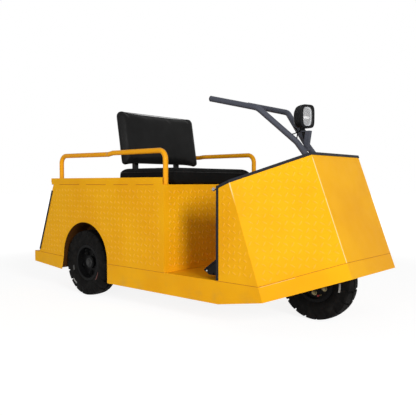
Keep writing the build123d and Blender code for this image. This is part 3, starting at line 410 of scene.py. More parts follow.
@dataclass(frozen=True)
class Vinyl(Finish):
    """Smooth upholstery vinyl with a pebbled grain and a soft sheen."""

    pebbles: float = 700.0
    lighter: float = 1.5
    sheen: float = 0.02
    sheen_roughness: float = 0.5

    def dress(self, shader: Shader) -> None:
        """Paints the skin and presses the pebbles into it.

        Args:
            shader: the material being made.
        """
        cells = shader.node("ShaderNodeTexVoronoi", {"feature": "SMOOTH_F1"}, Vector=shader.place,
                            Scale=self.pebbles)
        patches = shader.span(shader.noise(6.0, detail=3.0), *PATCH_SPAN)
        shader.set(Base_Color=shader.mix(patches, self.colour, self.shaded(self.lighter)),
                   Roughness=self.uneven(shader, shader.noise(18.0, detail=3.0), 0.05, 0.07),
                   Sheen_Weight=self.sheen, Sheen_Roughness=self.sheen_roughness)
        shader.bump(cells.outputs["Distance"], distance=0.0003, strength=0.35)
        shader.bump(shader.noise(26.0), distance=0.002, strength=0.16)


@dataclass(frozen=True)
class TyreRubber(Finish):
    """Black tyre rubber, unevenly dusty."""

    dust: Colour = (0.06, 0.055, 0.05)
    dust_cover: float = 0.14

    def dress(self, shader: Shader) -> None:
        """Paints rubber, dust and a fine moulded skin.

        Args:
            shader: the material being made.
        """
        dusty = shader.span(shader.noise(22.0, detail=5.0), 0.42, 0.75, to_high=self.dust_cover)
        shader.set(Base_Color=shader.mix(dusty, self.colour, self.dust),
                   Roughness=self.uneven(shader, shader.noise(45.0, detail=3.0), 0.08, 0.08))
        shader.bump(shader.noise(650.0, detail=3.0), distance=0.0004, strength=0.45)
        shader.bump(shader.noise(60.0, detail=3.0), distance=0.0012, strength=0.3)


@dataclass(frozen=True)
class Metal(Finish):
    """Bare or plated metal with fine scratches, darkened in streaks down to a share of its colour."""

    streaks: float = 0.7
    drawing: Point = (1.0, 14.0, 1.0)

    def dress(self, shader: Shader) -> None:
        """Paints the metal with scratches that lie close together along y.

        Args:
            shader: the material being made.
        """
        drawn = shader.noise(60.0, detail=3.0, place=shader.stretched(self.drawing))
        colour = shader.mix(shader.span(drawn, *PATCH_SPAN), self.colour, self.shaded(self.streaks))
        shader.set(Base_Color=colour, Roughness=self.uneven(shader, drawn, 0.06, 0.1))
        shader.bump(drawn, distance=0.0002, strength=0.2)


@dataclass(frozen=True)
class Glass(Finish):
    """Thin clear lamp glass: mostly see-through, with faint moulded flutes in its skin."""

    cover: float = 0.22
    flutes: float = 45.0
    flute_waver: float = 0.4
    flute_span: tuple[float, float] = (0.2, 0.9)
    flute_roughness: float = 0.10

    def dress(self, shader: Shader) -> None:
        """Sets the glass and its flutes.

        Args:
            shader: the material being made.
        """
        wave = shader.node("ShaderNodeTexWave", {"bands_direction": "Y"}, Vector=shader.place,
                           Scale=self.flutes, Distortion=self.flute_waver).outputs["Fac"]
        shader.set(Base_Color=(*self.colour, 1.0), Alpha=self.cover,
                   Roughness=shader.span(wave, *self.flute_span, self.roughness, self.flute_roughness))
        shader.bump(wave, distance=0.0004, strength=0.3)


PAINT = GlossPaint("golden_gloss_paint", "paint", (0.93, 0.455, 0.008), roughness=0.36, gloss=0.05)
# A paler gold on the plate's lugs: partly paint wear, and partly a painted highlight on their raised edges.
LUG_WEAR_AND_HIGHLIGHT_PAINT = GlossPaint("golden_paint_with_wear_and_painted_highlight_on_lugs", "paint", (0.946, 0.477, 0.028),
                       roughness=0.36, gloss=0.09)
# Painted highlight: a near-white gold for the bright line where the skirt's upper edge catches the light.
EDGE_PAINTED_HIGHLIGHT = GlossPaint("golden_paint_as_painted_highlight_on_the_sheet_edge", "paint", (0.98, 0.66, 0.22),
                       roughness=0.4, gloss=0.12)
RAIL_PAINT = GlossPaint("golden_rail_paint", "paint", (0.88, 0.38, 0.008), roughness=0.36, gloss=0.06,
                        chips=((-0.312, -0.4515, 0.889), (0.168, -0.4505, 0.738)))
# Painted shade: the wheel wells' liners are the body's yellow, painted near black-brown here for the deep
# shade inside the arches.
WELL_PAINTED_SHADE = Grained("wheel_well_painted_shade", "paint", (0.075, 0.026, 0.004),
                     roughness=0.7, gloss=0.1, grain=90.0, mottle=0.5)
EDGING = Grained("navy_black_rubber_edging", "trim_rubber", (0.008, 0.009, 0.014),
                 roughness=0.55, gloss=0.2, grain=500.0)
# Brown seam sealer; the same brown also lies in the deck lips' open slots as painted shade.
SEALER_AND_SLOT_SHADE = Grained("seam_sealer", "trim_rubber", (0.60, 0.22, 0.018), roughness=0.7, gloss=0.1)
FRAME_BLACK = Grained("frame_black_enamel", "frame_steel", (0.010, 0.010, 0.011), roughness=0.5, gloss=0.2)
BAR_GREY = Grained("slate_grey_powder_coat", "bar_grey", (0.072, 0.077, 0.098),
                   roughness=0.5, gloss=0.14, grain=1100.0, mottle=0.85)
MOTOR_BLACK = Grained("motor_black_enamel", "motor_black", (0.009, 0.009, 0.009), roughness=0.5, gloss=0.09)
LAMP_BLACK = Grained("lamp_black_plastic", "motor_black", (0.007, 0.007, 0.0075),
                     roughness=0.45, gloss=0.1, grain=700.0)
LEAD_BLACK = Grained("lead_black_rubber", "motor_black", (0.003, 0.003, 0.003), roughness=0.7, gloss=0.05)
BATTERY_GREY = Grained("battery_case_plastic", "battery", (0.06, 0.062, 0.07), roughness=0.55)
VINYL = Vinyl("seat_black_vinyl", "vinyl", (0.0065, 0.0065, 0.0065), roughness=0.5, gloss=0.08)
WORN_VINYL = Vinyl("seat_base_dull_vinyl", "vinyl", (0.0065, 0.0065, 0.0065), roughness=0.8, gloss=0.02)
PIPING = Vinyl("seat_piping_vinyl", "vinyl", (0.0065, 0.0065, 0.0065), roughness=0.45, gloss=0.1)
RUBBER = TyreRubber("tyre_rubber", "tyre", (0.0055, 0.0052, 0.005), roughness=0.75, gloss=0.05)
RIM_BLACK = Grained("rim_black_enamel", "rim_black", (0.005, 0.005, 0.0052), roughness=0.5, gloss=0.07)
HUB_GREY = Grained("hub_dull_steel", "rim_black", (0.019, 0.019, 0.019), roughness=0.45, gloss=0.22)
ZINC = Metal("yellow_zinc_plate", "zinc", (0.30, 0.25, 0.13), roughness=0.42, metallic=0.9)
BRIGHT = Metal("bright_steel", "chrome", (0.45, 0.45, 0.45), roughness=0.32, metallic=1.0)
CHROME = Metal("knob_chrome", "chrome", (0.34, 0.32, 0.31), roughness=0.2, metallic=1.0)
REFLECTOR = Metal("lamp_reflector", "chrome", (0.70, 0.73, 0.77), roughness=0.42, metallic=0.15, streaks=0.96)
LENS = Glass("lamp_clear_glass", "lamp_glass", (0.98, 0.99, 1.0), roughness=0.04)
# A frosted bulb whose near-white is sized and placed to give the bright band behind the lens: a painted
# highlight of reflected light.
BULB_AS_PAINTED_HIGHLIGHT = Grained("bulb_white_as_painted_highlight", "lamp_glass", (0.9, 0.9, 0.88),
               roughness=0.25, grain=1500.0, mottle=0.95)
WHITE_MARK = Grained("white_paint_mark", "tyre", (0.46, 0.45, 0.42), roughness=0.7, grain=300.0, mottle=0.55)
GREY_MARK = Grained("grey_chalk_smear", "tyre", (0.075, 0.075, 0.073), roughness=0.8, grain=300.0, mottle=0.4)
RED_MARK = Grained("red_paint_mark", "tyre", (0.13, 0.035, 0.028), roughness=0.7, grain=300.0, mottle=0.55)
RED_CAP = Grained("red_valve_cap", "tyre", (0.32, 0.02, 0.02), roughness=0.4)


# Meshes


class Form:
    """Shells gathered one by one, then made into one outward-facing mesh."""

    def __init__(self) -> None:
        """Starts with nothing."""
        self.points: list[Array] = []
        self.faces: list[list[int]] = []
        self.count = 0

    def shell(self, points: Array, faces: list[list[int]]) -> "Form":
        """Adds a shell's points and faces.

        Args:
            points: an array of shape (n, 3).
            faces: lists of point numbers, counted from the shell's own first point.
        Returns:
            The form itself.
        """
        self.points.append(points.reshape(-1, 3))
        self.faces += [[self.count + i for i in face] for face in faces]
        self.count += len(self.points[-1])
        return self

    def surface(self, points: Array) -> "Form":
        """Adds a grid of points (rows, columns, 3) as quads between closed rings, with both ends filled.

        Args:
            points: the grid, one ring of points a row.
        Returns:
            The form itself.
        """
        rows, columns = points.shape[:2]
        numbers = np.arange(rows * columns).reshape(rows, columns)
        closed = np.concatenate([numbers, numbers[:, :1]], axis=1)
        quads = np.stack([closed[:-1, :-1], closed[:-1, 1:], closed[1:, 1:], closed[1:, :-1]], axis=-1)
        ends = [numbers[0, ::-1].tolist(), numbers[-1].tolist()]
        return self.shell(points, quads.reshape(-1, 4).tolist() + ends)

    def ring(self, points: Array) -> "Form":
        """Adds a grid that closes on itself both ways, like a tyre.

        Args:
            points: the grid of points (rows, columns, 3).
        Returns:
            The form itself.
        """
        rows, columns = points.shape[:2]
        numbers = np.arange(rows * columns).reshape(rows, columns)
        around, across = np.roll(numbers, -1, 0), np.roll(numbers, -1, 1)
        quads = np.stack([numbers, across, np.roll(around, -1, 1), around], axis=-1)
        return self.shell(points, quads.reshape(-1, 4).tolist())

    def copies(self, points: Array, rings: int, places: Array, turns: Array) -> "Form":
        """Adds a small closed shape many times over: p' = turn p + place.

        Args:
            points: the shape as rings of points, flattened to (n, 3).
            rings: how many rings the shape has.
            places: where each copy goes, of shape (m, 3).
            turns: each copy's turning matrix, of shape (m, 3, 3).
        Returns:
            The form itself.
        """
        single = Form().surface(points.reshape(rings, -1, 3))
        moved = np.einsum("mij,nj->mni", turns, single.points[0]) + places[:, None]
        shift = np.arange(len(places)) * len(single.points[0])
        faces = [(np.array(face)[None] + shift[:, None]).tolist() for face in single.faces]
        return self.shell(moved, [numbers for face in faces for numbers in face])

    def build(self, name: str, finish: Finish, body: Body, smooth: float = 35.0) -> bpy.types.Object:
        """Makes the mesh, turns its faces outwards and hangs it on a body.

        Args:
            name: the new piece's name.
            finish: what it is made of.
            body: the CAD body that it rides on.
            smooth: edges that turn less than this many degrees are shaded smooth.
        Returns:
            The new piece.
        """
        mesh = bpy.data.meshes.new(name)
        mesh.from_pydata(np.concatenate(self.points).tolist(), [], self.faces)
        shell = bmesh.new()
        shell.from_mesh(mesh)
        bmesh.ops.remove_doubles(shell, verts=shell.verts, dist=1e-6)
        bmesh.ops.dissolve_degenerate(shell, edges=shell.edges, dist=1e-7)
        bmesh.ops.recalc_face_normals(shell, faces=shell.faces)
        shell.to_mesh(mesh)
        shell.free()
        mesh.shade_smooth()
        mesh.set_sharp_from_angle(angle=math.radians(smooth))
        mesh.materials.append(finish.material())
        piece = bpy.data.objects.new(name, mesh)
        bpy.context.scene.collection.objects.link(piece)
        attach(piece, body.value)
        log.info("%s: %d faces on %s", name, len(mesh.polygons), body.value)
        return piece


def circle(count: int, phase: float = 0.0) -> Array:
    """Angles once round, count of them, in radians."""
    return np.arange(count) * 2 * math.pi / count + phase


def unit(vectors: Array) -> Array:
    """Vectors, or one vector, at length 1."""
    return vectors / np.linalg.norm(vectors, axis=-1, keepdims=True)


def mesh_points(mesh: bpy.types.Mesh) -> Array:
    """Reads a mesh's points.

    Args:
        mesh: the mesh.
    Returns:
        An array of shape (n, 3).
    """
    points = np.zeros(len(mesh.vertices) * 3)
    mesh.vertices.foreach_get("co", points)
    return points.reshape(-1, 3)


def basis(axis: Array | Point) -> Array:
    """Makes a turning matrix whose third column is the axis.

    Args:
        axis: a direction of any length.
    Returns:
        The matrix of shape (3, 3).
    """
    third = unit(np.asarray(axis, float))
    upright = abs(third[2]) >= 0.9
    first = unit(np.cross(np.array([1.0, 0.0, 0.0] if upright else UPWARDS), third))
    return np.stack([first, np.cross(third, first), third], axis=1)


def turned(profile: Profile | Array, centre: Array, axis: Array | Point, sides: int,
           phase: float = 0.0) -> Array:
    """A profile turned round an axis: p(u, v) = centre + r(u)(cos v a + sin v b) + h(u) axis.

    Args:
        profile: pairs of radius and height along the axis.
        centre: where height 0 is.
        axis: the direction of the height.
        sides: points round each ring.
        phase: turns every ring by this many radians.
    Returns:
        A grid of shape (profile, sides, 3).
    """
    radius, height = (column[:, None] for column in np.asarray(profile, float).T)
    angle = circle(sides, phase)
    local = np.stack([radius * np.cos(angle), radius * np.sin(angle), np.repeat(height, sides, 1)], axis=-1)
    return local @ basis(axis).T + centre


def tube(path: Array, radius: float, sides: int) -> Array:
    """A circle carried along a path: p(u, v) = path(u) + r (cos v n(u) + sin v b(u)), n and b square to it.

    Args:
        path: points of shape (n, 3), which never run straight up.
        radius: of the tube.
        sides: points round each ring.
    Returns:
        A grid of shape (n, sides, 3).
    """
    tangent = unit(np.gradient(path, axis=0))
    first = unit(np.cross(tangent, np.array(UPWARDS)))
    second = np.cross(first, tangent)
    angle = circle(sides)[None, :, None]
    return path[:, None] + radius * (np.cos(angle) * first[:, None] + np.sin(angle) * second[:, None])


def superellipse(angle: Array, half_a: float, half_b: float, power: float) -> tuple[Array, Array]:
    """Rounded rectangle: a = A sign(cos)|cos|^(2/p), b = B sign(sin)|sin|^(2/p).

    Args:
        angle: the parameter round the outline.
        half_a: half the width.
        half_b: half the height.
        power: 2 is an ellipse, and more is squarer.
    Returns:
        The two coordinates.
    """
    share = 2.0 / power
    cos, sin = np.cos(angle), np.sin(angle)
    return half_a * np.sign(cos) * np.abs(cos) ** share, half_b * np.sign(sin) * np.abs(sin) ** share


def bead(form: Form, centre: Array, axis: Point, radius: float, size: float) -> None:
    """Adds a weld bead round a tube: a ring of section s (1 + 0.14 sin 9v), so it swells nine times round.

    Args:
        form: the form that takes it.
        centre: the middle of the ring.
        axis: the tube's direction.
        radius: of the tube.
        size: of the bead's section.
    """
    angle, ring = circle(30)[:, None], circle(8)[None]
    swell = size * (1 + 0.14 * np.sin(9 * angle))
    reach, lift = radius + swell * np.cos(ring), swell * np.sin(ring)
    local = np.stack([reach * np.cos(angle), reach * np.sin(angle), lift], axis=-1)
    form.ring(local @ basis(axis).T + centre)


def paint_nodes(finish: Finish, *nodes: str) -> None:
    """Gives CAD nodes a finish.

    Args:
        finish: the new finish.
        *nodes: names of CAD nodes.
    """
    for node in nodes:
        slots = NODES[node].data.materials
        slots.clear()
        slots.append(finish.material())


# Bodywork


@dataclass
class PlateFace:
    """One flat outer face of a CAD node: its triangles, its normal, and the directions across and up it."""

    triangles: Array
    normal: Array
    level: float
    across: Array
    up: Array

    @classmethod
    def of(cls, node: str, facing: Point) -> "PlateFace":
        """Finds a node's largest flat face that looks a given way.

        Args:
            node: the CAD node's name.
            facing: roughly the way that the face looks.
        Returns:
            The face.
        """
        mesh = NODES[node].data
        mesh.calc_loop_triangles()
        numbers = np.zeros(len(mesh.loop_triangles) * 3, int)
        mesh.loop_triangles.foreach_get("vertices", numbers)
        triangles = mesh_points(mesh)[numbers.reshape(-1, 3)]
        crossed = np.cross(triangles[:, 1] - triangles[:, 0], triangles[:, 2] - triangles[:, 0])
        area = np.linalg.norm(crossed, axis=1)
        normals = crossed / np.maximum(area, 1e-15)[:, None]
        reach = np.einsum("ij,ij->i", normals, triangles[:, 0])
        # Triangles share a face if their normals agree to a fiftieth and their planes to half a millimetre.
        key = np.round(np.column_stack([normals * 50, reach * 2000]))
        _, group = np.unique(key, axis=0, return_inverse=True)
        group = group.ravel()
        score = np.bincount(group, area * np.maximum(normals @ unit(np.array(facing)) - 0.8, 0))
        chosen = group == np.argmax(score)
        normal = unit(np.average(normals[chosen], axis=0, weights=area[chosen]))
        up = unit(np.array(UPWARDS) - normal[2] * normal)
        level = float(np.median(triangles[chosen].reshape(-1, 3) @ normal))
        return cls(triangles[chosen], normal, level, np.cross(up, normal), up)

    def flat(self, points: Array) -> Array:
        """Points as distances along across and up."""
        return np.stack([points @ self.across, points @ self.up], axis=-1)

    def holds(self, spots: Array) -> Array:
        """Tells which flat spots lie on the face, by the signs of (end - start) x (spot - start) at edges.

        Args:
            spots: an array (..., 2).
        Returns:
            An array of true and false.
        """
        ends = [self.flat(self.triangles[:, i]) for i in range(3)]
        signs = []
        for start, end in zip(ends, ends[1:] + ends[:1]):
            edge, way = end - start, spots[..., None, :] - start
            signs.append(edge[:, 0] * way[..., 1] - edge[:, 1] * way[..., 0])
        products = np.stack(signs)
        return ((products >= -TINY).all(0) | (products <= TINY).all(0)).any(-1)


def meeting(first: PlateFace, second: PlateFace, z: float) -> Array:
    """The point at a height z on the line where two faces' planes meet: n1.p = d1, n2.p = d2, p.z = z.

    Args:
        first: one face.
        second: the other face.
        z: the height.
    Returns:
        The point.
    """
    planes = np.stack([first.normal, second.normal, UPWARDS])
    return np.linalg.solve(planes, np.array([first.level, second.level, z]))


@dataclass
class CheckerPlate:
    """The raised lozenges of checker plate: a square lattice whose neighbours lie crosswise."""

    pitch: float = 0.0335
    length: float = 0.028
    width: float = 0.0090
    height: float = 0.0013
    sunk: float = 0.0006
    edge: float = 0.004
    outline: int = 10
    lean: float = 62.0

    def lozenge(self) -> Array:
        """Makes one lug as three rings: x = L/2 cos t, y = W/2 sin t |sin t|^0.3, drawn in towards its ridge.

        Returns:
            The rings' points, one ring after the other.
        """
        angle = circle(self.outline)
        x = self.length / 2 * np.cos(angle)
        y = self.width / 2 * np.sin(angle) * np.abs(np.sin(angle)) ** 0.3
        # Each ring's share of the length, its share of the width, and its height.
        rings = ((1.0, 1.0, -self.sunk), (0.93, 0.86, 0.25 * self.height), (0.62, 0.34, self.height))
        return np.concatenate([np.column_stack([x * a, y * b, np.full_like(x, h)]) for a, b, h in rings])

    def cover(self, form: Form, face: PlateFace) -> int:
        """Spreads lugs over a face, clear of its edges.

        Args:
            form: the form that takes the lugs.
            face: the flat face.
        Returns:
            How many lugs it holds.
        """
        flat = face.flat(face.triangles.reshape(-1, 3))
        low, high = flat.min(0), flat.max(0)
        counts = np.ceil((high - low) / self.pitch).astype(int)
        column, row = (grid.ravel() for grid in np.meshgrid(np.arange(counts[0]), np.arange(counts[1])))
        start = low + ((high - low) - (counts - 1) * self.pitch) / 2
        spots = start + np.stack([column, row], axis=-1) * self.pitch
        lean = np.radians(np.where((column + row) % 2, self.lean, self.lean - 90.0))
        ring = circle(12)
        reach = self.length / 2 + self.edge
        around = spots[:, None] + reach * np.stack([np.cos(ring), np.sin(ring)], axis=-1)
        inside = face.holds(around).all(1)
        spots, lean = spots[inside], lean[inside]
        places = spots[:, :1] * face.across + spots[:, 1:] * face.up + face.level * face.normal
        along = np.cos(lean)[:, None] * face.across + np.sin(lean)[:, None] * face.up
        beside = np.cross(face.normal, along)
        turns = np.stack([along, beside, np.broadcast_to(face.normal, along.shape)], axis=-1)
        form.copies(self.lozenge(), 3, places, turns)
        return len(spots)


# Where two faces of the cowl meet: half width, patchiness, and the heights between which the pale mark of
# paint wear and painted highlight comes in.
FoldWearAndHighlightSize = tuple[float, float, tuple[float, float]]


@dataclass
class Bodywork:
    """The folded cowl, the skirts, the box and their plate pattern, seams, pale folds of paint wear and
    painted highlight, a painted highlight line on the skirt's edge and painted shade in the deck slots.
    """

    plate: CheckerPlate
    seam_radius: float = 0.0012
    gap_radius: float = 0.0015
    edge_drop: float = 0.0034
    edge_stretch: tuple[float, float] = (0.02, 0.42)
    proud: float = 0.0003
    skirt_rear: tuple[float, float] = (-1.100, 0.245)
    skirt_at_axle: tuple[float, float] = (-0.545, 0.226)
    arch_rear: float = -0.757
    arch_front: float = -0.301
    skirt_nose: float = 0.348
    deck_seam: float = 0.7045
    deck_gaps: tuple[tuple[float, float], ...] = (
        (-0.792, -0.575), (-0.503, -0.307), (-0.234, -0.103), (-0.035, 0.111))
    fold_ends: tuple[float, float] = (0.85, 0.35)
    front_fold_wear_and_highlight: FoldWearAndHighlightSize = (0.0032, 0.55, (0.0, 0.1))
    side_fold_wear_and_highlight: FoldWearAndHighlightSize = (0.0046, 0.35, (0.60, 0.70))
    patterned: tuple[tuple[str, str, Point], ...] = (
        ("right_box_plate_pattern", "box_side_right", (0, -1, 0)),
        ("left_box_plate_pattern", "box_side_left", (0, 1, 0)),
        ("box_front_plate_pattern", "box_front", (1, 0, 0)),
    )
    painted: tuple[str, ...] = (
        "nose_skirt", "side_skirt_right", "side_skirt_left", "box_side_right", "box_side_left", "box_front",
        "box_rear", "deck_tray", "rear_platform", "rear_bumper", "floor_plate", "toe_board")

    def __post_init__(self) -> None:
        """Finds the cowl's five flat faces."""
        self.sides = {side: PlateFace.of("cowl_shield", (0, side, 0)) for side in Side}
        self.chamfers = {side: PlateFace.of("cowl_shield", (0.6, 0.8 * side, 0.25)) for side in Side}
        self.front = PlateFace.of("cowl_shield", (0.94, 0, 0.34))

    def build(self) -> None:
        """Paints the sheets and adds what is raised on them."""
        paint_nodes(PAINT, *self.painted)
        # The wells' near black-brown is painted shade.
        paint_nodes(WELL_PAINTED_SHADE, "wheel_well_right", "wheel_well_left")
        paint_nodes(self.cowl_paint(), "cowl_shield")
        paint_nodes(EDGING, "cowl_trim", "box_trim")
        for name, node, way in self.patterned:
            self.pattern(name, [PlateFace.of(node, way)])
        self.pattern("cowl_plate_pattern", [*self.sides.values(), *self.chamfers.values()])
        self.cowl_seam()
        self.cowl_edge()
        self.skirt_seam()
        self.deck_gap_lines()

    def cowl_paint(self) -> GlossPaint:
        """Makes the paint of the cowl, paler where its flat faces meet: paint wear, and a painted highlight
        along the folds.

        Returns:
            The paint.
        """
        folds = []
        for side in Side:
            chamfer = self.chamfers[side]
            for faces, wear in (((chamfer, self.front), self.front_fold_wear_and_highlight),
                                ((self.sides[side], chamfer), self.side_fold_wear_and_highlight)):
                start, end = (tuple(meeting(*faces, z)) for z in self.fold_ends)
                folds.append(FoldWearAndHighlight(start, end, *wear))
        return replace(PAINT, name="golden_gloss_paint_with_fold_wear_and_painted_highlight", folds=tuple(folds))

    def pattern(self, name: str, faces: list[PlateFace]) -> None:
        """Raises the plate's lugs on flat faces, in a paler gold that is partly paint wear and partly painted
        highlight.

        Args:
            name: the new piece's name.
            faces: the faces that it covers.
        """
        form = Form()
        lugs = sum(self.plate.cover(form, face) for face in faces)
        form.build(name, LUG_WEAR_AND_HIGHLIGHT_PAINT, Body.CHASSIS, smooth=50.0)
        log.info("%s: %d lugs", name, lugs)

    def line(self, form: Form, radius: float, *ends: Array | Point) -> None:
        """Adds one thin straight bead from point to point."""
        form.surface(tube(np.array(ends, float), radius, sides=8))

    def cowl_seam(self) -> None:
        """Runs sealer along the joint of cowl and skirt: level on sides and nose, rising on the chamfers."""
        form = Form()
        half = corners("nose_skirt")[1][1] + self.proud
        cowl_rear = corners("cowl_shield")[0][0]
        for side in Side:
            chamfer = self.chamfers[side]
            foot = meeting(self.sides[side], chamfer, self.skirt_at_axle[1])
            nose = meeting(chamfer, self.front, self.skirt_nose)
            lift = chamfer.normal * self.proud
            y = side * half
            self.line(form, self.seam_radius, (cowl_rear, y, foot[2]), (foot[0], y, foot[2]))
            self.line(form, self.seam_radius, foot + lift, nose + lift)
        lift = self.front.normal * self.proud
        left, right = (meeting(self.chamfers[side], self.front, self.skirt_nose) + lift
                       for side in (Side.LEFT, Side.RIGHT))
        self.line(form, self.seam_radius, left, right)
        form.build("cowl_seam_sealer", SEALER_AND_SLOT_SHADE, Body.CHASSIS)

    def cowl_edge(self) -> None:
        """Lays a pale line on the skirt's upper edge, under the seam, on the rear stretch of each chamfer: a
        painted highlight where that edge catches the light.
        """
        form = Form()
        for side in Side:
            chamfer = self.chamfers[side]
            foot = meeting(self.sides[side], chamfer, self.skirt_at_axle[1] - self.edge_drop)
            rise = meeting(chamfer, self.front, self.skirt_nose - self.edge_drop) - foot
            lift = chamfer.normal * self.proud
            start, end = (foot + rise * share + lift for share in self.edge_stretch)
            self.line(form, self.seam_radius, start, end)
        form.build("cowl_seam_painted_highlight_line", EDGE_PAINTED_HIGHLIGHT, Body.CHASSIS)

    def skirt_seam(self) -> None:
        """Runs sealer where the box and the floor stand on the skirts."""
        form = Form()
        half = corners("side_skirt_right")[0][1]
        box_front = corners("box_side_right")[1][0]
        (rear_x, rear_z), (axle_x, axle_z) = self.skirt_rear, self.skirt_at_axle
        arch_z = rear_z + (axle_z - rear_z) * (self.arch_rear - rear_x) / (axle_x - rear_x)
        for side in Side:
            y = side * (abs(half) + self.proud)
            self.line(form, self.seam_radius, (rear_x, y, rear_z), (self.arch_rear, y, arch_z))
            self.line(form, self.seam_radius, (self.arch_front, y, axle_z), (box_front, y, axle_z))
        form.build("skirt_seam_sealer", SEALER_AND_SLOT_SHADE, Body.CHASSIS)

    def deck_gap_lines(self) -> None:
        """Lays brown lines where the deck lips stand open between the stitch welds: painted shade in those
        slots.
        """
        form = Form()
        half = abs(corners("box_side_right")[0][1]) + self.proud
        for side in Side:
            for start, end in self.deck_gaps:
                y, z = side * half, self.deck_seam
                self.line(form, self.gap_radius, (start, y, z), (end, y, z))
        form.build("deck_slot_painted_shade", SEALER_AND_SLOT_SHADE, Body.CHASSIS)


@dataclass
class GrabRails:
    """The two tube rails with a weld bead round each foot."""

    bead_size: float = 0.0028
    foot: float = 0.7085
    radius: float = 0.0145

    def build(self) -> None:
        """Paints the rails and welds their feet."""
        rails = ("grab_rail_right", "grab_rail_left")
        paint_nodes(RAIL_PAINT, *rails)
        form = Form()
        for node in rails:
            low, high = corners(node)
            for x in (low[0] + self.radius, high[0] - self.radius):
                foot = np.array([x, (low[1] + high[1]) / 2, self.foot])
                bead(form, foot, UPWARDS, self.radius, self.bead_size)
        form.build("rail_foot_welds", RAIL_PAINT, Body.CHASSIS)


# Wheels


@dataclass(frozen=True)
class PaintStroke:
    """A painter's stroke on a tyre's sidewall: from one radius and angle to another."""

    name: str
    finish: Finish
    radii: tuple[float, float]
    degrees: tuple[float, float]
    width: float


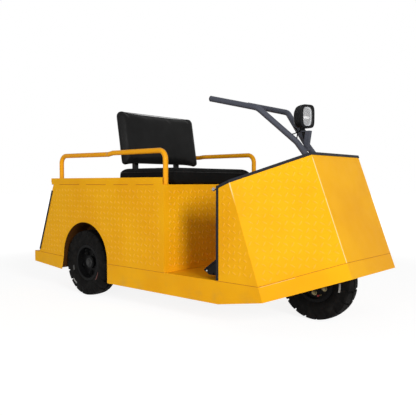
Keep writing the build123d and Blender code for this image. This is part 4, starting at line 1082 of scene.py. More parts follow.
@dataclass
class Wheel:
    """A tyre with two rows of broad lugs parted by narrow slits, on a dished disc rim with nuts and a valve.

    The tyre replaces, and the rim dresses, the CAD node whose name starts with the wheel's position.
    """

    position: str
    body: Body
    joint: str
    outer_side: Side
    nut_plane: float
    nut_finish: Finish
    first_slits: tuple[float, float]
    strokes: tuple[PaintStroke, ...] = ()
    nut_count: int = 5
    nut_degrees: float = -90.0
    nut_circle: float = 0.0655
    nut_size: float = 0.0125
    valve_circle: float = 0.0805
    valve_degrees: float = -66.0
    cap_finish: Finish = RED_CAP
    hub_bolts: int = 0
    hub_plane: float = 0.0
    hub_circle: float = 0.0215
    hub_phase: float = 0.3

    widest: float = 0.0520
    bulge_radius: float = 0.148
    wall_power: float = 2.4
    shoulder: float = 0.040
    crown_radius: float = 0.1985
    crown_drop: float = 0.004
    bead_radius: float = 0.1142
    bead_half: float = 0.0347
    bead_step: float = 0.002
    bore_radius: float = 0.1025
    # Radius, height and half width of each line moulded round the sidewall.
    moulded_lines: tuple[tuple[float, ...], ...] = (
        (0.156, 0.0009, 0.0016), (0.137, 0.0008, 0.0014), (0.124, 0.0012, 0.002))
    sides: int = 96
    top_radius: float = 0.2075
    lug_shoulder: float = 0.0445
    lug_count: int = 19
    lug_slit: float = 0.0105
    lug_reach: float = 1.44
    lug_lean: float = 0.008
    lug_fade: float = 0.55
    lug_proud: float = 0.0004
    lug_root: float = 0.003
    wall_root: float = 0.94
    # Across a lug: the share of its half width, and the share of its height there.
    lug_section: tuple[tuple[float, float], ...] = (
        (-1.03, 0.0), (-1.0, 0.84), (-0.955, 1.0), (-0.3, 1.02),
        (0.3, 1.02), (0.955, 1.0), (1.0, 0.84), (1.03, 0.0))

    def __post_init__(self) -> None:
        """Names the wheel's nodes and finds its middle and its outward axis."""
        self.tyre, self.rim = self.position + "_tyre", self.position + "_rim"
        self.centre = np.array(JOINTS[self.joint]["pos_m"], float)
        self.axis = np.array([0.0, float(self.outer_side), 0.0])

    def sidewall(self, radius: Array) -> Array:
        """Gives the half width y = W - (W - W_end) |(r - r_bulge) / (r_end - r_bulge)|^2.4 of the sidewall.

        The end is the shoulder above the bulge, and the bead below it.

        Args:
            radius: where it is asked.
        Returns:
            The half width there.
        """
        edge = self.crown_radius - self.crown_drop
        above = radius > self.bulge_radius
        away = np.where(above, (radius - self.bulge_radius) / (edge - self.bulge_radius),
                        (self.bulge_radius - radius) / (self.bulge_radius - self.bead_radius))
        fall = np.where(above, self.widest - self.shoulder, self.widest - self.bead_half - self.bead_step)
        return self.widest - fall * np.clip(away, 0, 1) ** self.wall_power

    def carcass(self, s: Array) -> tuple[Array, Array]:
        """Follows the section: the tread r = R - drop s^2 up to s = 1, then the sidewall down to s = 2.

        Args:
            s: the parameter along the section.
        Returns:
            The half width and the radius.
        """
        tread, down = np.clip(s, 0, 1), np.clip(s - 1, 0, 1)
        edge = self.crown_radius - self.crown_drop
        radius = self.crown_radius - self.crown_drop * tread ** 2 - (edge - self.bead_radius) * down
        return np.where(s <= 1, self.shoulder * tread, self.sidewall(radius)), radius

    def lug_top(self, s: Array) -> tuple[Array, Array]:
        """Follows a lug's outer face, which runs over the shoulder and fades into the sidewall at the reach.

        Args:
            s: the parameter along the section.
        Returns:
            The half width and the radius.
        """
        tread, down = np.clip(s, 0, 1), np.clip((s - 1) / (self.lug_reach - 1), 0, 1)
        _, foot_r = self.carcass(np.array(self.lug_reach))
        corner_r = self.top_radius - self.crown_drop
        on_tread = self.top_radius - self.crown_drop * tread ** 2
        foot_y = self.sidewall(foot_r) + self.lug_proud
        on_wall = self.lug_shoulder + (foot_y - self.lug_shoulder) * down ** self.lug_fade
        return (np.where(s <= 1, self.lug_shoulder * tread, on_wall),
                np.where(s <= 1, on_tread, corner_r + (foot_r - corner_r) * down))

    def build(self) -> None:
        """Makes the tyre with its lugs and marks, and dresses the rim with nuts, hub and valve."""
        self.make_tyre()
        paint_nodes(RIM_BLACK, self.rim)
        self.nuts()
        if self.hub_bolts:
            self.hub()
        self.valve()
        for stroke in self.strokes:
            self.paint(stroke)

    def make_tyre(self) -> None:
        """Closes the carcass ring through the bead and stands the lugs on it.

        A moulded line widens the sidewall by h exp(-((r - place) / w)^2).
        """
        form = Form()
        s = np.concatenate([np.linspace(0, 1, 7)[:-1], np.linspace(1, 2, 22)])
        y, r = self.carcass(s)
        for place, size, width in self.moulded_lines:
            y = y + size * np.exp(-((r - place) / width) ** 2)
        half_y = np.concatenate([y, [self.bead_half, self.bead_half, 0.0]])
        half_r = np.concatenate([r, [self.bead_radius, self.bore_radius, self.bore_radius]])
        section_y = np.concatenate([half_y, -half_y[-2:0:-1]])
        section_r = np.concatenate([half_r, half_r[-2:0:-1]])
        angle = circle(self.sides)[:, None]
        x, z = section_r * np.cos(angle), section_r * np.sin(angle)
        form.ring(np.stack([x, np.broadcast_to(section_y, x.shape), z], axis=-1) + self.centre)
        self.stand_lugs(form)
        piece = form.build(self.tyre + "_lugged", RUBBER, self.body, smooth=40.0)
        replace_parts(piece, self.tyre)

    def stand_lugs(self, form: Form) -> None:
        """Carries a lug's section from the tread's middle over the shoulder, at each place round the tyre.

        A lug's surface is p(s, w): half width and radius between carcass(s) and lug_top(s), and the angle is
        place + (w half(s) + lean s) / r, where half(s) leaves a slit of one width.

        Args:
            form: the form that takes the lugs.
        """
        on_tread = [0.08, *np.linspace(0.35, 1.0, 4)]
        on_wall = 1 + (self.lug_reach - 1) * np.array([0.05, 0.15, 0.35, 0.65, 0.88, 1.0])
        s = np.concatenate([on_tread, on_wall])
        low_y, low_r = self.carcass(s)
        low_y, low_r = low_y * np.where(s > 1, self.wall_root, 1.0), low_r - self.lug_root
        top_y, top_r = self.lug_top(s)
        pitch = 2 * math.pi / self.lug_count
        half = (pitch * top_r - self.lug_slit) / 2
        lean = self.lug_lean * np.clip(s, 0, 1)
        lines = [(low_y + (top_y - low_y) * up, low_r + (top_r - low_r) * min(up, 1.0), share * half + lean)
                 for share, up in self.lug_section]
        y, r, w = (np.stack(rows, axis=1) for rows in zip(*lines))
        for side, first in zip((1, -1), self.first_slits):
            for place in math.radians(first) + (np.arange(self.lug_count) + 0.5) * pitch:
                angle = place + w / r
                lug = np.stack([r * np.cos(angle), side * self.outer_side * y, r * np.sin(angle)], axis=-1)
                form.surface(lug + self.centre)

    def spot(self, plane: float, radius: float, angle: float) -> Array:
        """A point on the rim: on a plane square to the axle, at a radius and an angle."""
        middle = self.centre * (1, 0, 1) + (0, plane, 0)
        return middle + radius * np.array([math.cos(angle), 0.0, math.sin(angle)])

    def nuts(self) -> None:
        """Turns the hex nuts, each on a washer with its stud. Profiles are pairs of radius and height."""
        size = self.nut_size
        hexagon = [(0.92 * size, -0.001), (size, 0.0015), (size, 0.009), (0.86 * size, 0.0112),
                   (0.60 * size, 0.0116)]
        stud = [(0.50 * size, 0.008), (0.50 * size, 0.0165), (0.40 * size, 0.018)]
        washer = [(1.18 * size, -0.001), (1.18 * size, 0.0012), (0.9 * size, 0.0016)]
        form = Form()
        for angle in math.radians(self.nut_degrees) + circle(self.nut_count):
            spot = self.spot(self.nut_plane, self.nut_circle, angle)
            form.surface(turned(hexagon, spot, self.axis, sides=6, phase=angle))
            form.surface(turned(stud, spot, self.axis, sides=14))
            form.surface(turned(washer, spot, self.axis, sides=20))
        form.build(self.rim + "_nuts", self.nut_finish, self.body, smooth=30.0)

    def hub(self) -> None:
        """Turns a stepped cap with a ring of small screws on the hub's end."""
        cap = [(0.029, -0.002), (0.029, 0.003), (0.0265, 0.005), (0.016, 0.006), (0.0145, 0.011),
               (0.005, 0.0125)]
        screw = [(0.0036, 0.003), (0.0036, 0.0085), (0.0028, 0.0092)]
        form = Form().surface(turned(cap, self.spot(self.hub_plane, 0.0, 0.0), self.axis, sides=40))
        for angle in circle(self.hub_bolts, self.hub_phase):
            spot = self.spot(self.hub_plane, self.hub_circle, angle)
            form.surface(turned(screw, spot, self.axis, sides=6, phase=angle))
        form.build(self.rim + "_hub_cap", HUB_GREY, self.body, smooth=30.0)

    def valve(self) -> None:
        """Turns the valve's stem and its cap, in the disc beside the nuts."""
        spot = self.spot(self.nut_plane, self.valve_circle, math.radians(self.valve_degrees))
        stem = [(0.0052, -0.003), (0.0052, 0.006), (0.0038, 0.008), (0.0038, 0.022), (0.003, 0.0225)]
        cap = [(0.0044, 0.0205), (0.0048, 0.022), (0.0048, 0.031), (0.0036, 0.034), (0.0012, 0.0347)]
        pieces = (("_valve", stem, self.nut_finish), ("_valve_cap", cap, self.cap_finish))
        for ending, profile, finish in pieces:
            form = Form().surface(turned(profile, spot, self.axis, sides=14))
            form.build(self.rim + ending, finish, self.body)

    def paint(self, stroke: PaintStroke) -> None:
        """Lays a stroke of paint on the sidewall, a hair proud of the rubber.

        Radius and angle run evenly from the stroke's start to its end, and rows lie square to that run.

        Args:
            stroke: where it runs and what it is.
        """
        t = np.linspace(0, 1, 12)[:, None]
        start, end = stroke.radii
        first, last = (math.radians(degrees) for degrees in stroke.degrees)
        radius, angle = start + (end - start) * t, first + (last - first) * t
        across = np.linspace(-1, 1, 4)[None] * stroke.width / 2
        slope = math.atan2(end - start, (last - first) * float(radius.mean()))
        r = radius + across * math.cos(slope)
        a = angle - across * math.sin(slope) / radius
        top_y, top_r = self.lug_top(np.linspace(self.lug_reach, 1, 40))
        y = np.where(r > top_r[0], np.interp(r, top_r, top_y), self.sidewall(r))
        outer, inner = (np.stack([r * np.cos(a), self.outer_side * (y + lift), r * np.sin(a)], axis=-1)
                        for lift in (0.0011, -0.003))
        form = Form().surface(np.concatenate([outer, inner[:, ::-1]], axis=1) + self.centre)
        form.build(stroke.name, stroke.finish, self.body)


# Seat


@dataclass
class Cushion:
    """A padded vinyl cushion: a round-edged slab that the cloth's pressure fills out, with a sewn welt.

    The corner fields are radii in the slab's outline, the front and rear rounds are radii of its long edges,
    and drawn_in is how far the right and left ends stand back from the CAD solid's.
    """

    name: str
    node: str
    setting: Setting
    corner: float
    low_corner: float
    front_round: float
    rear_round: float
    crown: float
    fill: float
    seam_level: float
    lean: float = 0.0
    drawn_in: tuple[float, float] = (0.0, 0.0)
    finish: Finish = VINYL
    outline_count: int = 160
    tightest: float = 0.004
    voxel: float = 0.007
    swell: float = 0.012
    start_smaller: float = 0.006
    pressure: float = 4.0
    stiffness: float = 40.0
    frames: int = 20
    smoothing: float = 0.5
    smoothings: int = 4
    welt_radius: float = 0.0019
    cast_from: float = 0.03
    cast_to: float = 0.05

    def __post_init__(self) -> None:
        """Finds the cushion's own axes and the room that its CAD solid gives it.

        The axes are its length or height, its width, and its thickness towards the sitter. The room is a
        middle and half sizes along them.
        """
        self.axes = np.eye(3)
        if self.setting is Setting.UPRIGHT:
            sin, cos = math.sin(math.radians(self.lean)), math.cos(math.radians(self.lean))
            self.axes = np.array([[-sin, 0.0, cos], [0.0, 1.0, 0.0], [cos, 0.0, sin]]).T
        local = mesh_points(NODES[self.node].data) @ self.axes
        low, high = local.min(0), local.max(0)
        low[1] += self.drawn_in[0]
        high[1] -= self.drawn_in[1]
        self.middle, self.half = (low + high) / 2, (high - low) / 2

    def outline(self, half: Array, inset: float) -> Array:
        """Draws a rounded rectangle: corner centre + r (cos v, sin v), all drawn in by the inset.

        Args:
            half: half its height and half its width.
            inset: how far it is drawn in.
        Returns:
            Its points, two numbers each.
        """
        angle = circle(self.outline_count) + math.pi / self.outline_count
        cos, sin = np.cos(angle), np.sin(angle)
        radius = np.maximum(np.where(cos > 0, self.corner, self.low_corner) - inset, self.tightest)
        return np.column_stack([np.sign(cos) * (half[0] - inset - radius) + radius * cos,
                                np.sign(sin) * (half[1] - inset - radius) + radius * sin])

    def level(self, half: Array, inset: float, thickness: float) -> Array:
        """The outline at one level of the thickness, as points of three numbers."""
        return np.column_stack([self.outline(half, inset), np.full(self.outline_count, thickness)])

    def block(self, half: Array) -> Array:
        """Stacks outlines through the thickness, drawn in by R - sqrt(R^2 - (R - d)^2) at a depth d.

        Args:
            half: half the slab's sizes.
        Returns:
            A grid of rings.
        """
        rings = []
        for face, radius in ((-1, self.rear_round), (1, self.front_round)):
            depth = radius * np.array([0.0, 0.06, 0.18, 0.38, 0.65, 1.0])
            inset = radius - np.sqrt(np.maximum(radius ** 2 - (radius - depth) ** 2, 0.0))
            levels = [self.level(half, i, face * (half[2] - d)) for d, i in zip(depth, inset)]
            rings += levels if face < 0 else levels[::-1]
        return np.stack(rings)

    def build(self) -> None:
        """Makes the cushion, fills it out and sews its welt."""
        grid = (self.block(self.half - self.start_smaller) + self.middle) @ self.axes.T
        piece = Form().surface(grid).build(self.name, self.finish, Body.CHASSIS, smooth=180.0)
        self.modify(piece, "REMESH", mode="VOXEL", voxel_size=self.voxel)
        before = self.shown_points(piece)
        after = self.filled(piece)
        self.settle(piece, before, after)
        self.modify(piece, "SMOOTH", factor=self.smoothing, iterations=self.smoothings)
        self.modify(piece, "SUBSURF", levels=1, render_levels=1)
        piece.data.shade_smooth()
        log.info("%s: %d faces after filling", self.name, len(piece.data.polygons))
        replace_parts(piece, self.node)
        self.sew(piece)

    def modify(self, piece: bpy.types.Object, kind: str, **settings: object) -> None:
        """Adds a modifier and applies it.

        Args:
            piece: the cushion.
            kind: the modifier's type.
            **settings: its settings.
        """
        modifier = piece.modifiers.new(kind.lower(), kind)
        for name, value in settings.items():
            setattr(modifier, name, value)
        with bpy.context.temp_override(object=piece, active_object=piece, selected_objects=[piece]):
            bpy.ops.object.modifier_apply(modifier=modifier.name)

    def shown_points(self, piece: bpy.types.Object) -> Array:
        """Reads a piece's points, with its live modifiers.

        Args:
            piece: the cushion.
        Returns:
            An array of shape (n, 3).
        """
        shown = piece.evaluated_get(bpy.context.evaluated_depsgraph_get())
        points = mesh_points(shown.to_mesh())
        shown.to_mesh_clear()
        return points

    def filled(self, piece: bpy.types.Object) -> Array:
        """Blows the cushion up with Cloth.

        Args:
            piece: the cushion.
        Returns:
            Its points after the last frame.
        """
        cloth = piece.modifiers.new("filling", "CLOTH")
        cloth.settings.use_pressure = True
        cloth.settings.uniform_pressure_force = self.pressure
        cloth.settings.effector_weights.gravity = 0.0
        cloth.settings.tension_stiffness = self.stiffness
        cloth.settings.compression_stiffness = self.stiffness
        cloth.point_cache.frame_start, cloth.point_cache.frame_end = 1, self.frames
        scene = bpy.context.scene
        for number in range(1, self.frames + 1):
            scene.frame_set(number)
        points = self.shown_points(piece)
        piece.modifiers.remove(cloth)
        scene.frame_set(1)
        return points

    def settle(self, piece: bpy.types.Object, before: Array, after: Array) -> None:
        """Holds each point within the swell, crowns the front, and fits the cushion to its room.

        The crown adds c (1 - a^4)(1 - b^6) to the front, with a and b the shares of the half length and
        half width.

        Args:
            piece: the cushion.
            before: its points before the filling.
            after: its points after it.
        """
        step = after - before
        length = np.linalg.norm(step, axis=1, keepdims=True)
        held = before + step * np.minimum(1.0, self.swell / np.maximum(length, TINY))
        local = held @ self.axes - self.middle
        low, high = local.min(0), local.max(0)
        local = (local - (low + high) / 2) * (2 * self.half / (high - low))
        a, b = (local[:, i] / self.half[i] for i in (0, 1))
        spread = np.clip(1 - a ** 4, 0, 1) * np.clip(1 - b ** 6, 0, 1)
        local[:, 2] += np.where(local[:, 2] > 0, self.crown * spread, 0.0)
        piece.data.vertices.foreach_set("co", ((local + self.middle) @ self.axes.T).ravel())
        piece.data.update()

    def sew(self, piece: bpy.types.Object) -> None:
        """Runs a thin welt round the cushion, on the points where rays from outside meet its surface.

        Args:
            piece: the cushion.
        """
        seam = self.seam_level * self.half[2]
        outside, inside = ((self.level(self.half, inset, seam) + self.middle) @ self.axes.T
                           for inset in (-self.cast_from, self.cast_to))
        tree = BVHTree.FromObject(piece, bpy.context.evaluated_depsgraph_get())
        found = []
        for start, end in zip(outside, inside):
            hit, _, _, _ = tree.ray_cast(Vector(start), Vector(end - start).normalized())
            found.append(hit if hit else Vector(end))
        welt = np.array(found)
        ring = circle(8)[None, :, None]
        thick = self.axes[:, 2]
        outward = unit(np.cross(np.roll(welt, -1, 0) - np.roll(welt, 1, 0), thick))[:, None]
        rings = welt[:, None] + self.welt_radius * (np.cos(ring) * outward + np.sin(ring) * thick)
        Form().ring(rings).build(self.name + "_welt", PIPING, Body.CHASSIS)


@dataclass
class Seat:
    """The bench: its two cushions and the posts between them."""

    base: Cushion
    back: Cushion

    def build(self) -> None:
        """Makes both cushions and paints the posts."""
        self.base.build()
        self.back.build()
        paint_nodes(FRAME_BLACK, "back_posts")


# Steering


@dataclass
class Headlamp:
    """A square work lamp, turned a little on its neck: a ribbed shell, a bowl, a bulb and a domed lens."""

    yaw: float = 20.0
    neck: tuple[float, float] = (0.769, 0.0)
    bottom: float = 1.002
    width: float = 0.090
    height: float = 0.123
    reach: float = 0.047
    depth: float = 0.094
    bezel: float = 0.0120
    side_bezel: float = 0.0160
    outline: int = 64
    # From the back to the bezel: the shares of depth, half width and half height, and the power.
    shell_sections: tuple[tuple[float, ...], ...] = (
        (0.0, 0.26, 0.34, 2.1), (0.02, 0.42, 0.50, 2.2), (0.07, 0.60, 0.67, 2.4),
        (0.16, 0.755, 0.81, 2.7), (0.28, 0.865, 0.90, 3.1), (0.44, 0.945, 0.96, 3.5),
        (0.64, 0.98, 0.985, 3.9), (0.84, 0.985, 0.985, 4.4), (0.86, 1.0, 1.0, 4.4),
        (0.965, 1.0, 1.0, 4.4), (0.99, 0.985, 0.99, 4.4), (1.0, 0.955, 0.965, 4.4))
    # Inside the bezel: how far in from the rim, and how much wider than the bezel's inner edge.
    recess_sections: tuple[tuple[float, float], ...] = ((-0.001, 0.003), (-0.003, 0.0), (-0.014, -0.001))
    recess_power: float = 3.4
    rib_shares: tuple[float, float] = (0.36, 0.76)
    rib_count: int = 5
    # Across a rib: the step along the lamp, and the share by which it stands out.
    rib_section: tuple[tuple[float, float], ...] = (
        (-0.0022, -0.03), (-0.0012, 0.018), (0.0012, 0.018), (0.0022, -0.03))
    bowl_lip: float = 0.009
    bowl_depth: float = 0.030
    bowl_wall: float = 0.0016
    lens_lip: float = 0.0045
    lens_rise: float = 0.004
    lens_gap: float = 0.0004
    lens_wall: float = 0.003
    bulb_radius: float = 0.0085
    bulb_reach: float = 0.7
    bulb_back: float = 0.0175
    bulb_drop: float = 0.006
    lead_radius: float = 0.0031
    tied: Point = (0.758, -0.026, 0.985)
    # Where each run of the lead ends, and its sag, which is negative for a run that arches up.
    lead_runs: tuple[tuple[Point, float], ...] = (
        ((0.769, -0.006, 0.997), 0.002), ((0.733, -0.060, 0.972), 0.004),
        ((0.7623, -0.0436, 0.9416), -0.003), ((0.739, -0.029, 1.007), -0.004))

    def __post_init__(self) -> None:
        """Works out half the shell's and half the opening's width and height."""
        self.half_wide, self.half_tall = self.width / 2, self.height / 2
        self.open_wide, self.open_tall = self.half_wide - self.side_bezel, self.half_tall - self.bezel

    def place(self, local: Array) -> Array:
        """Turns points from the lamp's own axes into the vehicle's.

        Args:
            local: points as distances ahead of the neck, across, and up from the lamp's middle.
        Returns:
            The points in the vehicle's frame.
        """
        sin, cos = math.sin(math.radians(self.yaw)), math.cos(math.radians(self.yaw))
        ahead, across, up = local.T
        return np.column_stack([self.neck[0] + ahead * cos + across * sin,
                                self.neck[1] - ahead * sin + across * cos,
                                self.bottom + self.height / 2 + up])

    def section(self, ahead: float, half_across: float, half_up: float, power: float) -> Array:
        """An upright superellipse square to the lamp's own line, so far ahead of the neck's axis."""
        across, up = superellipse(circle(self.outline), half_across, half_up, power)
        return self.place(np.column_stack([np.full_like(across, ahead), across, up]))

    def walled(self, rings: list[Array], thickness: float) -> Array:
        """A closed skin: the open one's rings, and the same rings in reverse, set back by the thickness."""
        back = self.place(np.array([[thickness, 0.0, 0.0]])) - self.place(np.zeros((1, 3)))
        return np.stack(rings + [ring - back for ring in rings[::-1]])

    def build(self) -> None:
        """Makes the shell, the bowl, the bulb, the lens, the gusset and the lead."""
        self.shell()
        self.reflector()
        self.bulb()
        self.lens()
        self.gusset()
        self.lead()

    def shell(self) -> None:
        """Closes the shell from its round back over the bezel and into the recess, and ribs its sides."""
        back = self.reach - self.depth
        rings = [self.section(back + self.depth * share, self.half_wide * a, self.half_tall * b, power)
                 for share, a, b, power in self.shell_sections]
        wide, tall = self.open_wide, self.open_tall
        rings += [self.section(self.reach + into, wide + more, tall + more, self.recess_power)
                  for into, more in self.recess_sections]
        form = Form().surface(np.stack(rings))
        shares, *columns = np.array(self.shell_sections).T
        for share in np.linspace(*self.rib_shares, self.rib_count):
            a, b, power = (float(np.interp(share, shares, column)) for column in columns)
            middle = back + self.depth * share
            form.surface(np.stack([
                self.section(middle + step, self.half_wide * (a + more), self.half_tall * (b + more), power)
                for step, more in self.rib_section]))
        foot = np.array([*self.neck, corners("lamp_housing")[0][2]])
        socket = [(0.019, 0.0003), (0.019, 0.006), (0.0145, 0.008), (0.0155, 0.020), (0.022, 0.030)]
        form.surface(turned(socket, foot, UPWARDS, sides=28))
        piece = form.build("lamp_shell", LAMP_BLACK, Body.STEERING, smooth=40.0)
        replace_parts(piece, "lamp_housing")

    def reflector(self) -> None:
        """Presses the bowl: at a share k of its width it lies lip + d (1 - k^1.8) behind the rim."""
        rim = self.reach - self.bowl_lip
        wide, tall = self.open_wide, self.open_tall
        rings = [self.section(rim - self.bowl_depth * (1 - k ** 1.8), wide * (0.14 + 0.85 * k),
                              tall * (0.10 + 0.89 * k), 2.2 + 1.4 * k) for k in np.linspace(0.0, 1.0, 12)]
        form = Form().surface(self.walled(rings, self.bowl_wall))
        form.build("lamp_reflector_bowl", REFLECTOR, Body.STEERING)

    def bulb(self) -> None:
        """Lays the bulb across the bowl, its frosted white a painted highlight of the light reflected in the
        lamp: r = R sin^0.4 t, h = L (1 - cos t) / 2.
        """
        ahead, across = self.reach - self.bulb_back, self.open_wide * self.bulb_reach
        right, left = self.place(np.array([[ahead, side * across, -self.bulb_drop] for side in Side]))
        t = np.linspace(0.06, math.pi - 0.06, 18)
        length = float(np.linalg.norm(left - right))
        profile = np.column_stack([self.bulb_radius * np.sin(t) ** 0.4, length * (1 - np.cos(t)) / 2])
        Form().surface(turned(profile, right, left - right, sides=20)).build("lamp_bulb_as_painted_highlight", BULB_AS_PAINTED_HIGHLIGHT, Body.STEERING)

    def lens(self) -> None:
        """Domes the lens: at a share k of its width it lies lip - rise (1 - k^2) behind the rim."""
        wide, tall = self.open_wide - self.lens_gap, self.open_tall - self.lens_gap
        rings = [self.section(self.reach - self.lens_lip + self.lens_rise * (1 - k ** 2), wide * k, tall * k,
                              2.2 + 1.4 * k) for k in np.linspace(0.02, 1.0, 9)]
        form = Form().surface(self.walled(rings, self.lens_wall))
        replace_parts(form.build("lamp_lens_glass", LENS, Body.STEERING), "lamp_lens")

    def gusset(self) -> None:
        """Hangs a black gusset under the bracket behind the post, with the swivel's bolt through it; its
        black also fills the dark patch where the far arm lies in the lamp's shadow, as painted shade.
        """
        post_high = corners("lamp_post")[1]
        rear, top = post_high[0] - 0.025, post_high[2] - 0.004
        # Its corners seen from the side, as steps back from its front and down from its top.
        steps = np.array([(0.0, 0.0), (0.027, 0.0), (0.024, 0.010), (0.014, 0.038), (0.006, 0.043)])
        outline = np.array([rear, top]) - steps
        middle = outline.mean(0)
        eased = middle + (outline - middle) * 0.94
        rings = [np.column_stack([ring[:, 0], np.full(len(ring), y), ring[:, 1]])
                 for ring, y in ((eased, -0.009), (outline, -0.008), (outline, 0.008), (eased, 0.009))]
        form = Form().surface(np.stack(rings))
        bolt = [(0.0062, 0.0), (0.0062, 0.004), (0.0045, 0.0052), (0.0008, 0.0056)]
        form.surface(turned(bolt, np.array([rear - 0.014, -0.009, top - 0.013]), (0.0, -1.0, 0.0), sides=6))
        form.build("lamp_swivel_gusset_with_painted_shade", LAMP_BLACK, Body.STEERING, smooth=30.0)

    def lead(self) -> None:
        """Sags the lead from lamp to right arm, tied on the way: p = a + (b - a) t - 4 s t (1 - t) z."""
        form = Form()
        t = np.linspace(0, 1, 14)[:, None]
        tied = np.array(self.tied)
        for end, sag in self.lead_runs:
            path = tied + (np.array(end) - tied) * t - 4 * sag * t * (1 - t) * np.array(UPWARDS)
            form.surface(tube(path, self.lead_radius, sides=10))
        knot = [(0.0006, -0.0052), (0.0036, -0.0040), (0.0052, 0.0), (0.0036, 0.0040), (0.0006, 0.0052)]
        form.surface(turned(knot, tied, UPWARDS, sides=16))
        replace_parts(form.build("lamp_lead_cable", LEAD_BLACK, Body.STEERING), "lamp_lead")


@dataclass
class Steering:
    """The fork, the handlebar with its end plugs and welds, and the lamp."""

    lamp: Headlamp
    plug_radius: float = 0.0164
    tip: Point = (0.276, 0.174, 1.190)
    bend: Point = (0.581, 0.145, 1.1155)
    bar_radius: float = 0.016
    arm_y: float = 0.043
    bridge: tuple[float, float] = (0.794, 0.892)
    bridge_radius: float = 0.009
    post_radius: float = 0.0128
    weld_size: float = 0.0022
    weld_out: float = 0.0008
    weld_up: float = 0.001

    def build(self) -> None:
        """Paints the steering parts and adds their small pieces."""
        paint_nodes(BAR_GREY, "handlebar", "lamp_post")
        paint_nodes(FRAME_BLACK, "steering_fork")
        paint_nodes(ZINC, "front_axle")
        self.end_plugs()
        self.welds()
        self.lamp.build()

    def end_plugs(self) -> None:
        """Closes the bar's open ends with domed black plugs."""
        # The share of the plug's radius, and the height out of the bar.
        shares = ((0.9, -0.006), (1.0, -0.001), (1.0, 0.0015), (0.88, 0.0034), (0.5, 0.0046), (0.08, 0.005))
        profile = [(self.plug_radius * share, height) for share, height in shares]
        form = Form()
        for side in Side:
            tip, bend = (np.array([x, y * side, z]) for x, y, z in (self.tip, self.bend))
            form.surface(turned(profile, tip, tip - bend, sides=24))
        form.build("bar_end_plugs", LAMP_BLACK, Body.STEERING)

    def welds(self) -> None:
        """Lays beads where the bridge bar meets the arms and where the lamp post stands on it."""
        form = Form()
        x, z = self.bridge
        for side in Side:
            joint = np.array([x, side * (self.arm_y - self.bar_radius + self.weld_out), z])
            bead(form, joint, (0.0, 1.0, 0.0), self.bridge_radius, self.weld_size)
        foot = np.array([x, 0.0, corners("lamp_post")[0][2] + self.weld_up])
        bead(form, foot, UPWARDS, self.post_radius, self.weld_size)
        form.build("handlebar_welds", BAR_GREY, Body.STEERING)


# Controls and underbody


@dataclass
class Controls:
    """The brake knob beside the cowl and the pedals under it."""

    knob_radius: float = 0.0098
    bolt_radius: float = 0.0055
    bolt_depth: float = 0.004
    pedal_pitch: float = 0.150
    # Each pair of bolts in the pedals' sides: name, finish, x and z.
    pedal_bolts: tuple[tuple[str, Finish, float, float], ...] = (
        ("pedal_pivot_bolts", BRIGHT, 0.468, 0.262), ("pedal_stop_bolts", MOTOR_BLACK, 0.509, 0.250))

    def build(self) -> None:
        """Makes the knob and dresses the pedals."""
        paint_nodes(MOTOR_BLACK, "foot_pedals", "parking_lever")
        self.knob()
        for name, finish, x, z in self.pedal_bolts:
            self.bolts(name, finish, x, z)

    def knob(self) -> None:
        """Turns the knob: a ball with a collar, r = R sin t, h = -R cos t."""
        low, high = corners("lever_knob")
        centre = np.array([low[0] + self.knob_radius, (low[1] + high[1]) / 2, (low[2] + high[2]) / 2])
        t = np.linspace(0.02, math.pi - 0.02, 20)
        ball = np.column_stack([self.knob_radius * np.sin(t), -self.knob_radius * np.cos(t)])
        collar = [(0.0055, 0.007), (0.0055, 0.012), (0.004, 0.0135), (0.004, high[0] - centre[0])]
        form = Form()
        for profile, sides in ((ball, 32), (collar, 20)):
            form.surface(turned(profile, centre, (1.0, 0.0, 0.0), sides=sides))
        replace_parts(form.build("brake_knob", CHROME, Body.CHASSIS, smooth=40.0), "lever_knob")

    def bolts(self, name: str, finish: Finish, x: float, z: float) -> None:
        """Sets a bolt of one kind in the right side of each pedal.

        Args:
            name: the new piece's name.
            finish: what the bolts are made of.
            x: how far forward they are.
            z: how high they are.
        """
        first = corners("foot_pedals")[0][1] + self.bolt_depth
        radius = self.bolt_radius
        head = [(radius, 0.0), (radius, 0.003), (0.7 * radius, 0.0042), (0.1 * radius, 0.0046)]
        form = Form()
        for y in (first, first + self.pedal_pitch):
            form.surface(turned(head, np.array([x, y, z]), (0.0, -1.0, 0.0), sides=12))
        form.build(name, finish, Body.CHASSIS)


@dataclass
class Underbody:
    """The frame, the drive and the hitch, which keep their CAD shapes."""

    frame_parts: tuple[str, ...] = (
        "frame_rail_right", "frame_rail_left", "cross_members", "head_frame", "rear_axle", "tow_hitch")

    def build(self) -> None:
        """Paints what carries the vehicle."""
        paint_nodes(FRAME_BLACK, *self.frame_parts)
        paint_nodes(MOTOR_BLACK, "drive_motor")
        paint_nodes(BATTERY_GREY, "battery_pack")


# Studio


@dataclass(frozen=True)
class SoftLamp:
    """One square panel of light: where it hangs, what it looks at, its size, and its power in watts."""

    name: str
    place: Point
    aim: Point
    size: float
    power: float

    def hang(self) -> None:
        """Hangs the lamp, turned to what it looks at."""
        data = bpy.data.lights.new(self.name, "AREA")
        data.size, data.energy = self.size, self.power
        lamp = bpy.data.objects.new(self.name, data)
        lamp.location = self.place
        lamp.rotation_euler = (Vector(self.aim) - Vector(self.place)).to_track_quat("-Z", "Y").to_euler()
        bpy.context.scene.collection.objects.link(lamp)


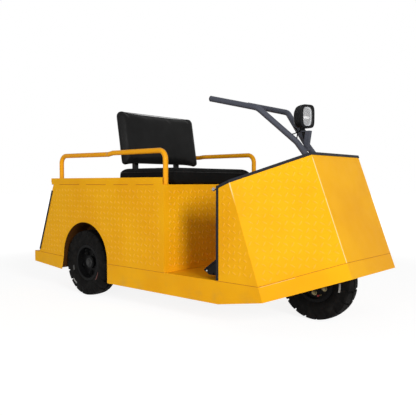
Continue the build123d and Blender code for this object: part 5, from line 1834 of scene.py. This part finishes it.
@dataclass
class Studio:
    """A pale floor, soft lamps and the camera at the photograph's place."""

    eye: Point = (2.3557, -2.5494, 0.7154)
    azimuth: float = 41.505
    pitch: float = 2.61
    focal_pixels: float = 554.05
    image_pixels: int = 416
    sensor: float = 36.0
    sky_light: float = 0.15
    sky_seen: float = 1.0
    floor_grey: float = 0.86
    floor_roughness: float = 0.9
    floor_gloss: float = 0.1
    floor_glow: float = 1.22
    floor_radii: tuple[float, ...] = (0.01, 3.0, 9.0, 30.0)
    near_share: float = 0.72
    glow_radii: tuple[float, float] = (2.0, 5.0)
    lamps: tuple[SoftLamp, ...] = (
        SoftLamp("key_lamp", place=(8.08, -3.46, 3.43), aim=(0.3, 0.0, 0.5), size=2.2, power=510.0),
        SoftLamp("fill_lamp", place=(1.2, -5.0, 1.4), aim=(0.4, 0.0, 0.4), size=2.5, power=82.0))
    # The rays that see the background as white, so that metal and glass show it too.
    seeing_rays: tuple[str, ...] = ("Is Glossy Ray", "Is Transmission Ray", "Is Camera Ray")

    def build(self) -> None:
        """Sets up the camera, the world, the floor and the lamps."""
        bpy.context.scene.view_settings.view_transform = "Standard"
        self.camera()
        self.world()
        self.floor()
        for lamp in self.lamps:
            lamp.hang()

    def camera(self) -> None:
        """Places the camera: right = (cos a, sin a, 0), forward = (-sin a cos p, cos a cos p, -sin p)."""
        a, p = math.radians(self.azimuth), math.radians(self.pitch)
        forward = Vector((-math.sin(a) * math.cos(p), math.cos(a) * math.cos(p), -math.sin(p)))
        right = Vector((math.cos(a), math.sin(a), 0.0))
        up = right.cross(forward)
        data = bpy.data.cameras.new("photo_camera")
        data.sensor_width = self.sensor
        data.lens = self.focal_pixels * self.sensor / self.image_pixels
        camera = bpy.data.objects.new("photo_camera", data)
        turn = Matrix((right, up, -forward)).transposed().to_4x4()
        camera.matrix_world = Matrix.Translation(self.eye) @ turn
        bpy.context.scene.collection.objects.link(camera)
        bpy.context.scene.camera = camera

    def world(self) -> None:
        """Makes a dim sky that camera, glossy and transmission rays see as white."""
        world = bpy.data.worlds.new("studio_sky")
        bpy.context.scene.world = world
        world.use_nodes = True
        tree = world.node_tree
        background = tree.nodes["Background"]
        path = tree.nodes.new("ShaderNodeLightPath")
        before = None
        for ray in self.seeing_rays:
            step = tree.nodes.new("ShaderNodeMix")
            tree.links.new(path.outputs[ray], step.inputs["Factor"])
            if before:
                tree.links.new(before, step.inputs["A"])
            else:
                step.inputs["A"].default_value = self.sky_light
            step.inputs["B"].default_value = self.sky_seen
            before = step.outputs["Result"]
        tree.links.new(before, background.inputs["Strength"])
        background.inputs["Color"].default_value = (1.0, 1.0, 1.0, 1.0)

    def floor_paint(self) -> bpy.types.Material:
        """Makes the floor's white, which camera, glossy and transmission rays see glow, plain white far away.

        Returns:
            The material.
        """
        shader = Shader("white_floor")
        shader.set(Base_Color=(self.floor_grey, self.floor_grey, self.floor_grey, 1.0),
                   Roughness=self.floor_roughness, Specular_IOR_Level=self.floor_gloss)
        glow = shader.node("ShaderNodeEmission", Color=(1.0, 1.0, 1.0, 1.0), Strength=self.floor_glow)
        path = shader.node("ShaderNodeLightPath")
        glossy, clear, camera = (path.outputs[ray] for ray in self.seeing_rays)
        seen = shader.math("MAXIMUM", camera, shader.math("MAXIMUM", glossy, clear))
        away = shader.vector("LENGTH", shader.place, out="Value")
        share = shader.math("MULTIPLY", seen, shader.span(away, *self.glow_radii, to_low=self.near_share))
        blend = shader.node("ShaderNodeMixShader")
        for socket, value in zip(blend.inputs, (share, shader.surface.outputs[0], glow.outputs[0])):
            shader.feed(socket, value)
        shader.feed(shader.tree.nodes["Material Output"].inputs["Surface"], blend.outputs[0])
        return shader.material

    def floor(self) -> None:
        """Lays a round floor that keeps the vehicle's shadow near it: rings p = r (cos v, sin v, 0)."""
        radius = np.array(self.floor_radii)[:, None]
        angle = circle(64)
        x, y = radius * np.cos(angle), radius * np.sin(angle)
        disc = Form().surface(np.stack([x, y, np.zeros_like(x)], axis=-1))
        mesh = bpy.data.meshes.new("studio_floor")
        # The form's last face spans the outer ring, so it would lie across the whole floor a second time.
        mesh.from_pydata(disc.points[0].tolist(), [], disc.faces[:-1])
        mesh.materials.append(self.floor_paint())
        floor = bpy.data.objects.new("studio_floor", mesh)
        bpy.context.scene.collection.objects.link(floor)


def wheels() -> list[Wheel]:
    """Lists the front wheel and the two rear ones, whose discs face outwards.

    Returns:
        The three wheels.
    """
    front_strokes = (PaintStroke("front_tyre_mark", WHITE_MARK, (0.1547, 0.156), (1.1, -15.8), width=0.010),)
    rear_strokes = (PaintStroke("white_tyre_mark", WHITE_MARK, (0.173, 0.168), (-139.3, -124.3), width=0.010),
                    PaintStroke("grey_tyre_mark", GREY_MARK, (0.1310, 0.1360), (-168.0, -155.0), width=0.007),
                    PaintStroke("red_tyre_mark", RED_MARK, (0.1345, 0.142), (-20.7, -42.5), width=0.007))
    rear_disc = abs(JOINTS["rear_right_spin"]["pos_m"][1]) + 0.004
    rear_hub = 0.4145
    listed = [Wheel("front", Body.FRONT_WHEEL, "front_wheel_spin", Side.RIGHT, nut_plane=-0.026,
                    nut_finish=ZINC, first_slits=(-144.6, -29.4), strokes=front_strokes, nut_count=6,
                    nut_degrees=-95.0)]
    for position, body, side, valve, strokes in (
            ("rear_right", Body.REAR_RIGHT_WHEEL, Side.RIGHT, 100.0, rear_strokes),
            ("rear_left", Body.REAR_LEFT_WHEEL, Side.LEFT, 80.0, ())):
        listed.append(Wheel(position, body, position + "_spin", side, nut_plane=side * rear_disc,
                            nut_finish=RIM_BLACK, first_slits=(-144.2, -135.6), strokes=strokes,
                            valve_degrees=valve, cap_finish=RIM_BLACK, hub_bolts=8,
                            hub_plane=side * rear_hub))
    return listed


def seat() -> Seat:
    """Lays out the bench: a flat base cushion and a back cushion that leans.

    Returns:
        The seat.
    """
    base = Cushion("seat_base_cushion", "seat_cushion", Setting.LYING, corner=0.012, low_corner=0.050,
                   front_round=0.032, rear_round=0.016, crown=0.0, fill=0.75, seam_level=0.45,
                   finish=WORN_VINYL)
    back = Cushion("seat_back_cushion", "back_cushion", Setting.UPRIGHT, corner=0.040, low_corner=0.022,
                   front_round=0.036, rear_round=0.014, crown=0.002, fill=0.7, seam_level=0.35, lean=9.5,
                   drawn_in=(0.014, -0.001))
    return Seat(base, back)


def main() -> None:
    """Builds the studio and every sub-assembly."""
    logging.basicConfig(level=logging.INFO, format="%(name)s %(message)s")
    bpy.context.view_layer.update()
    Studio().build()
    for assembly in (Bodywork(CheckerPlate()), GrabRails(), *wheels(), seat(), Steering(Headlamp()),
                     Controls(), Underbody()):
        assembly.build()


if __name__ == "__main__":
    main()
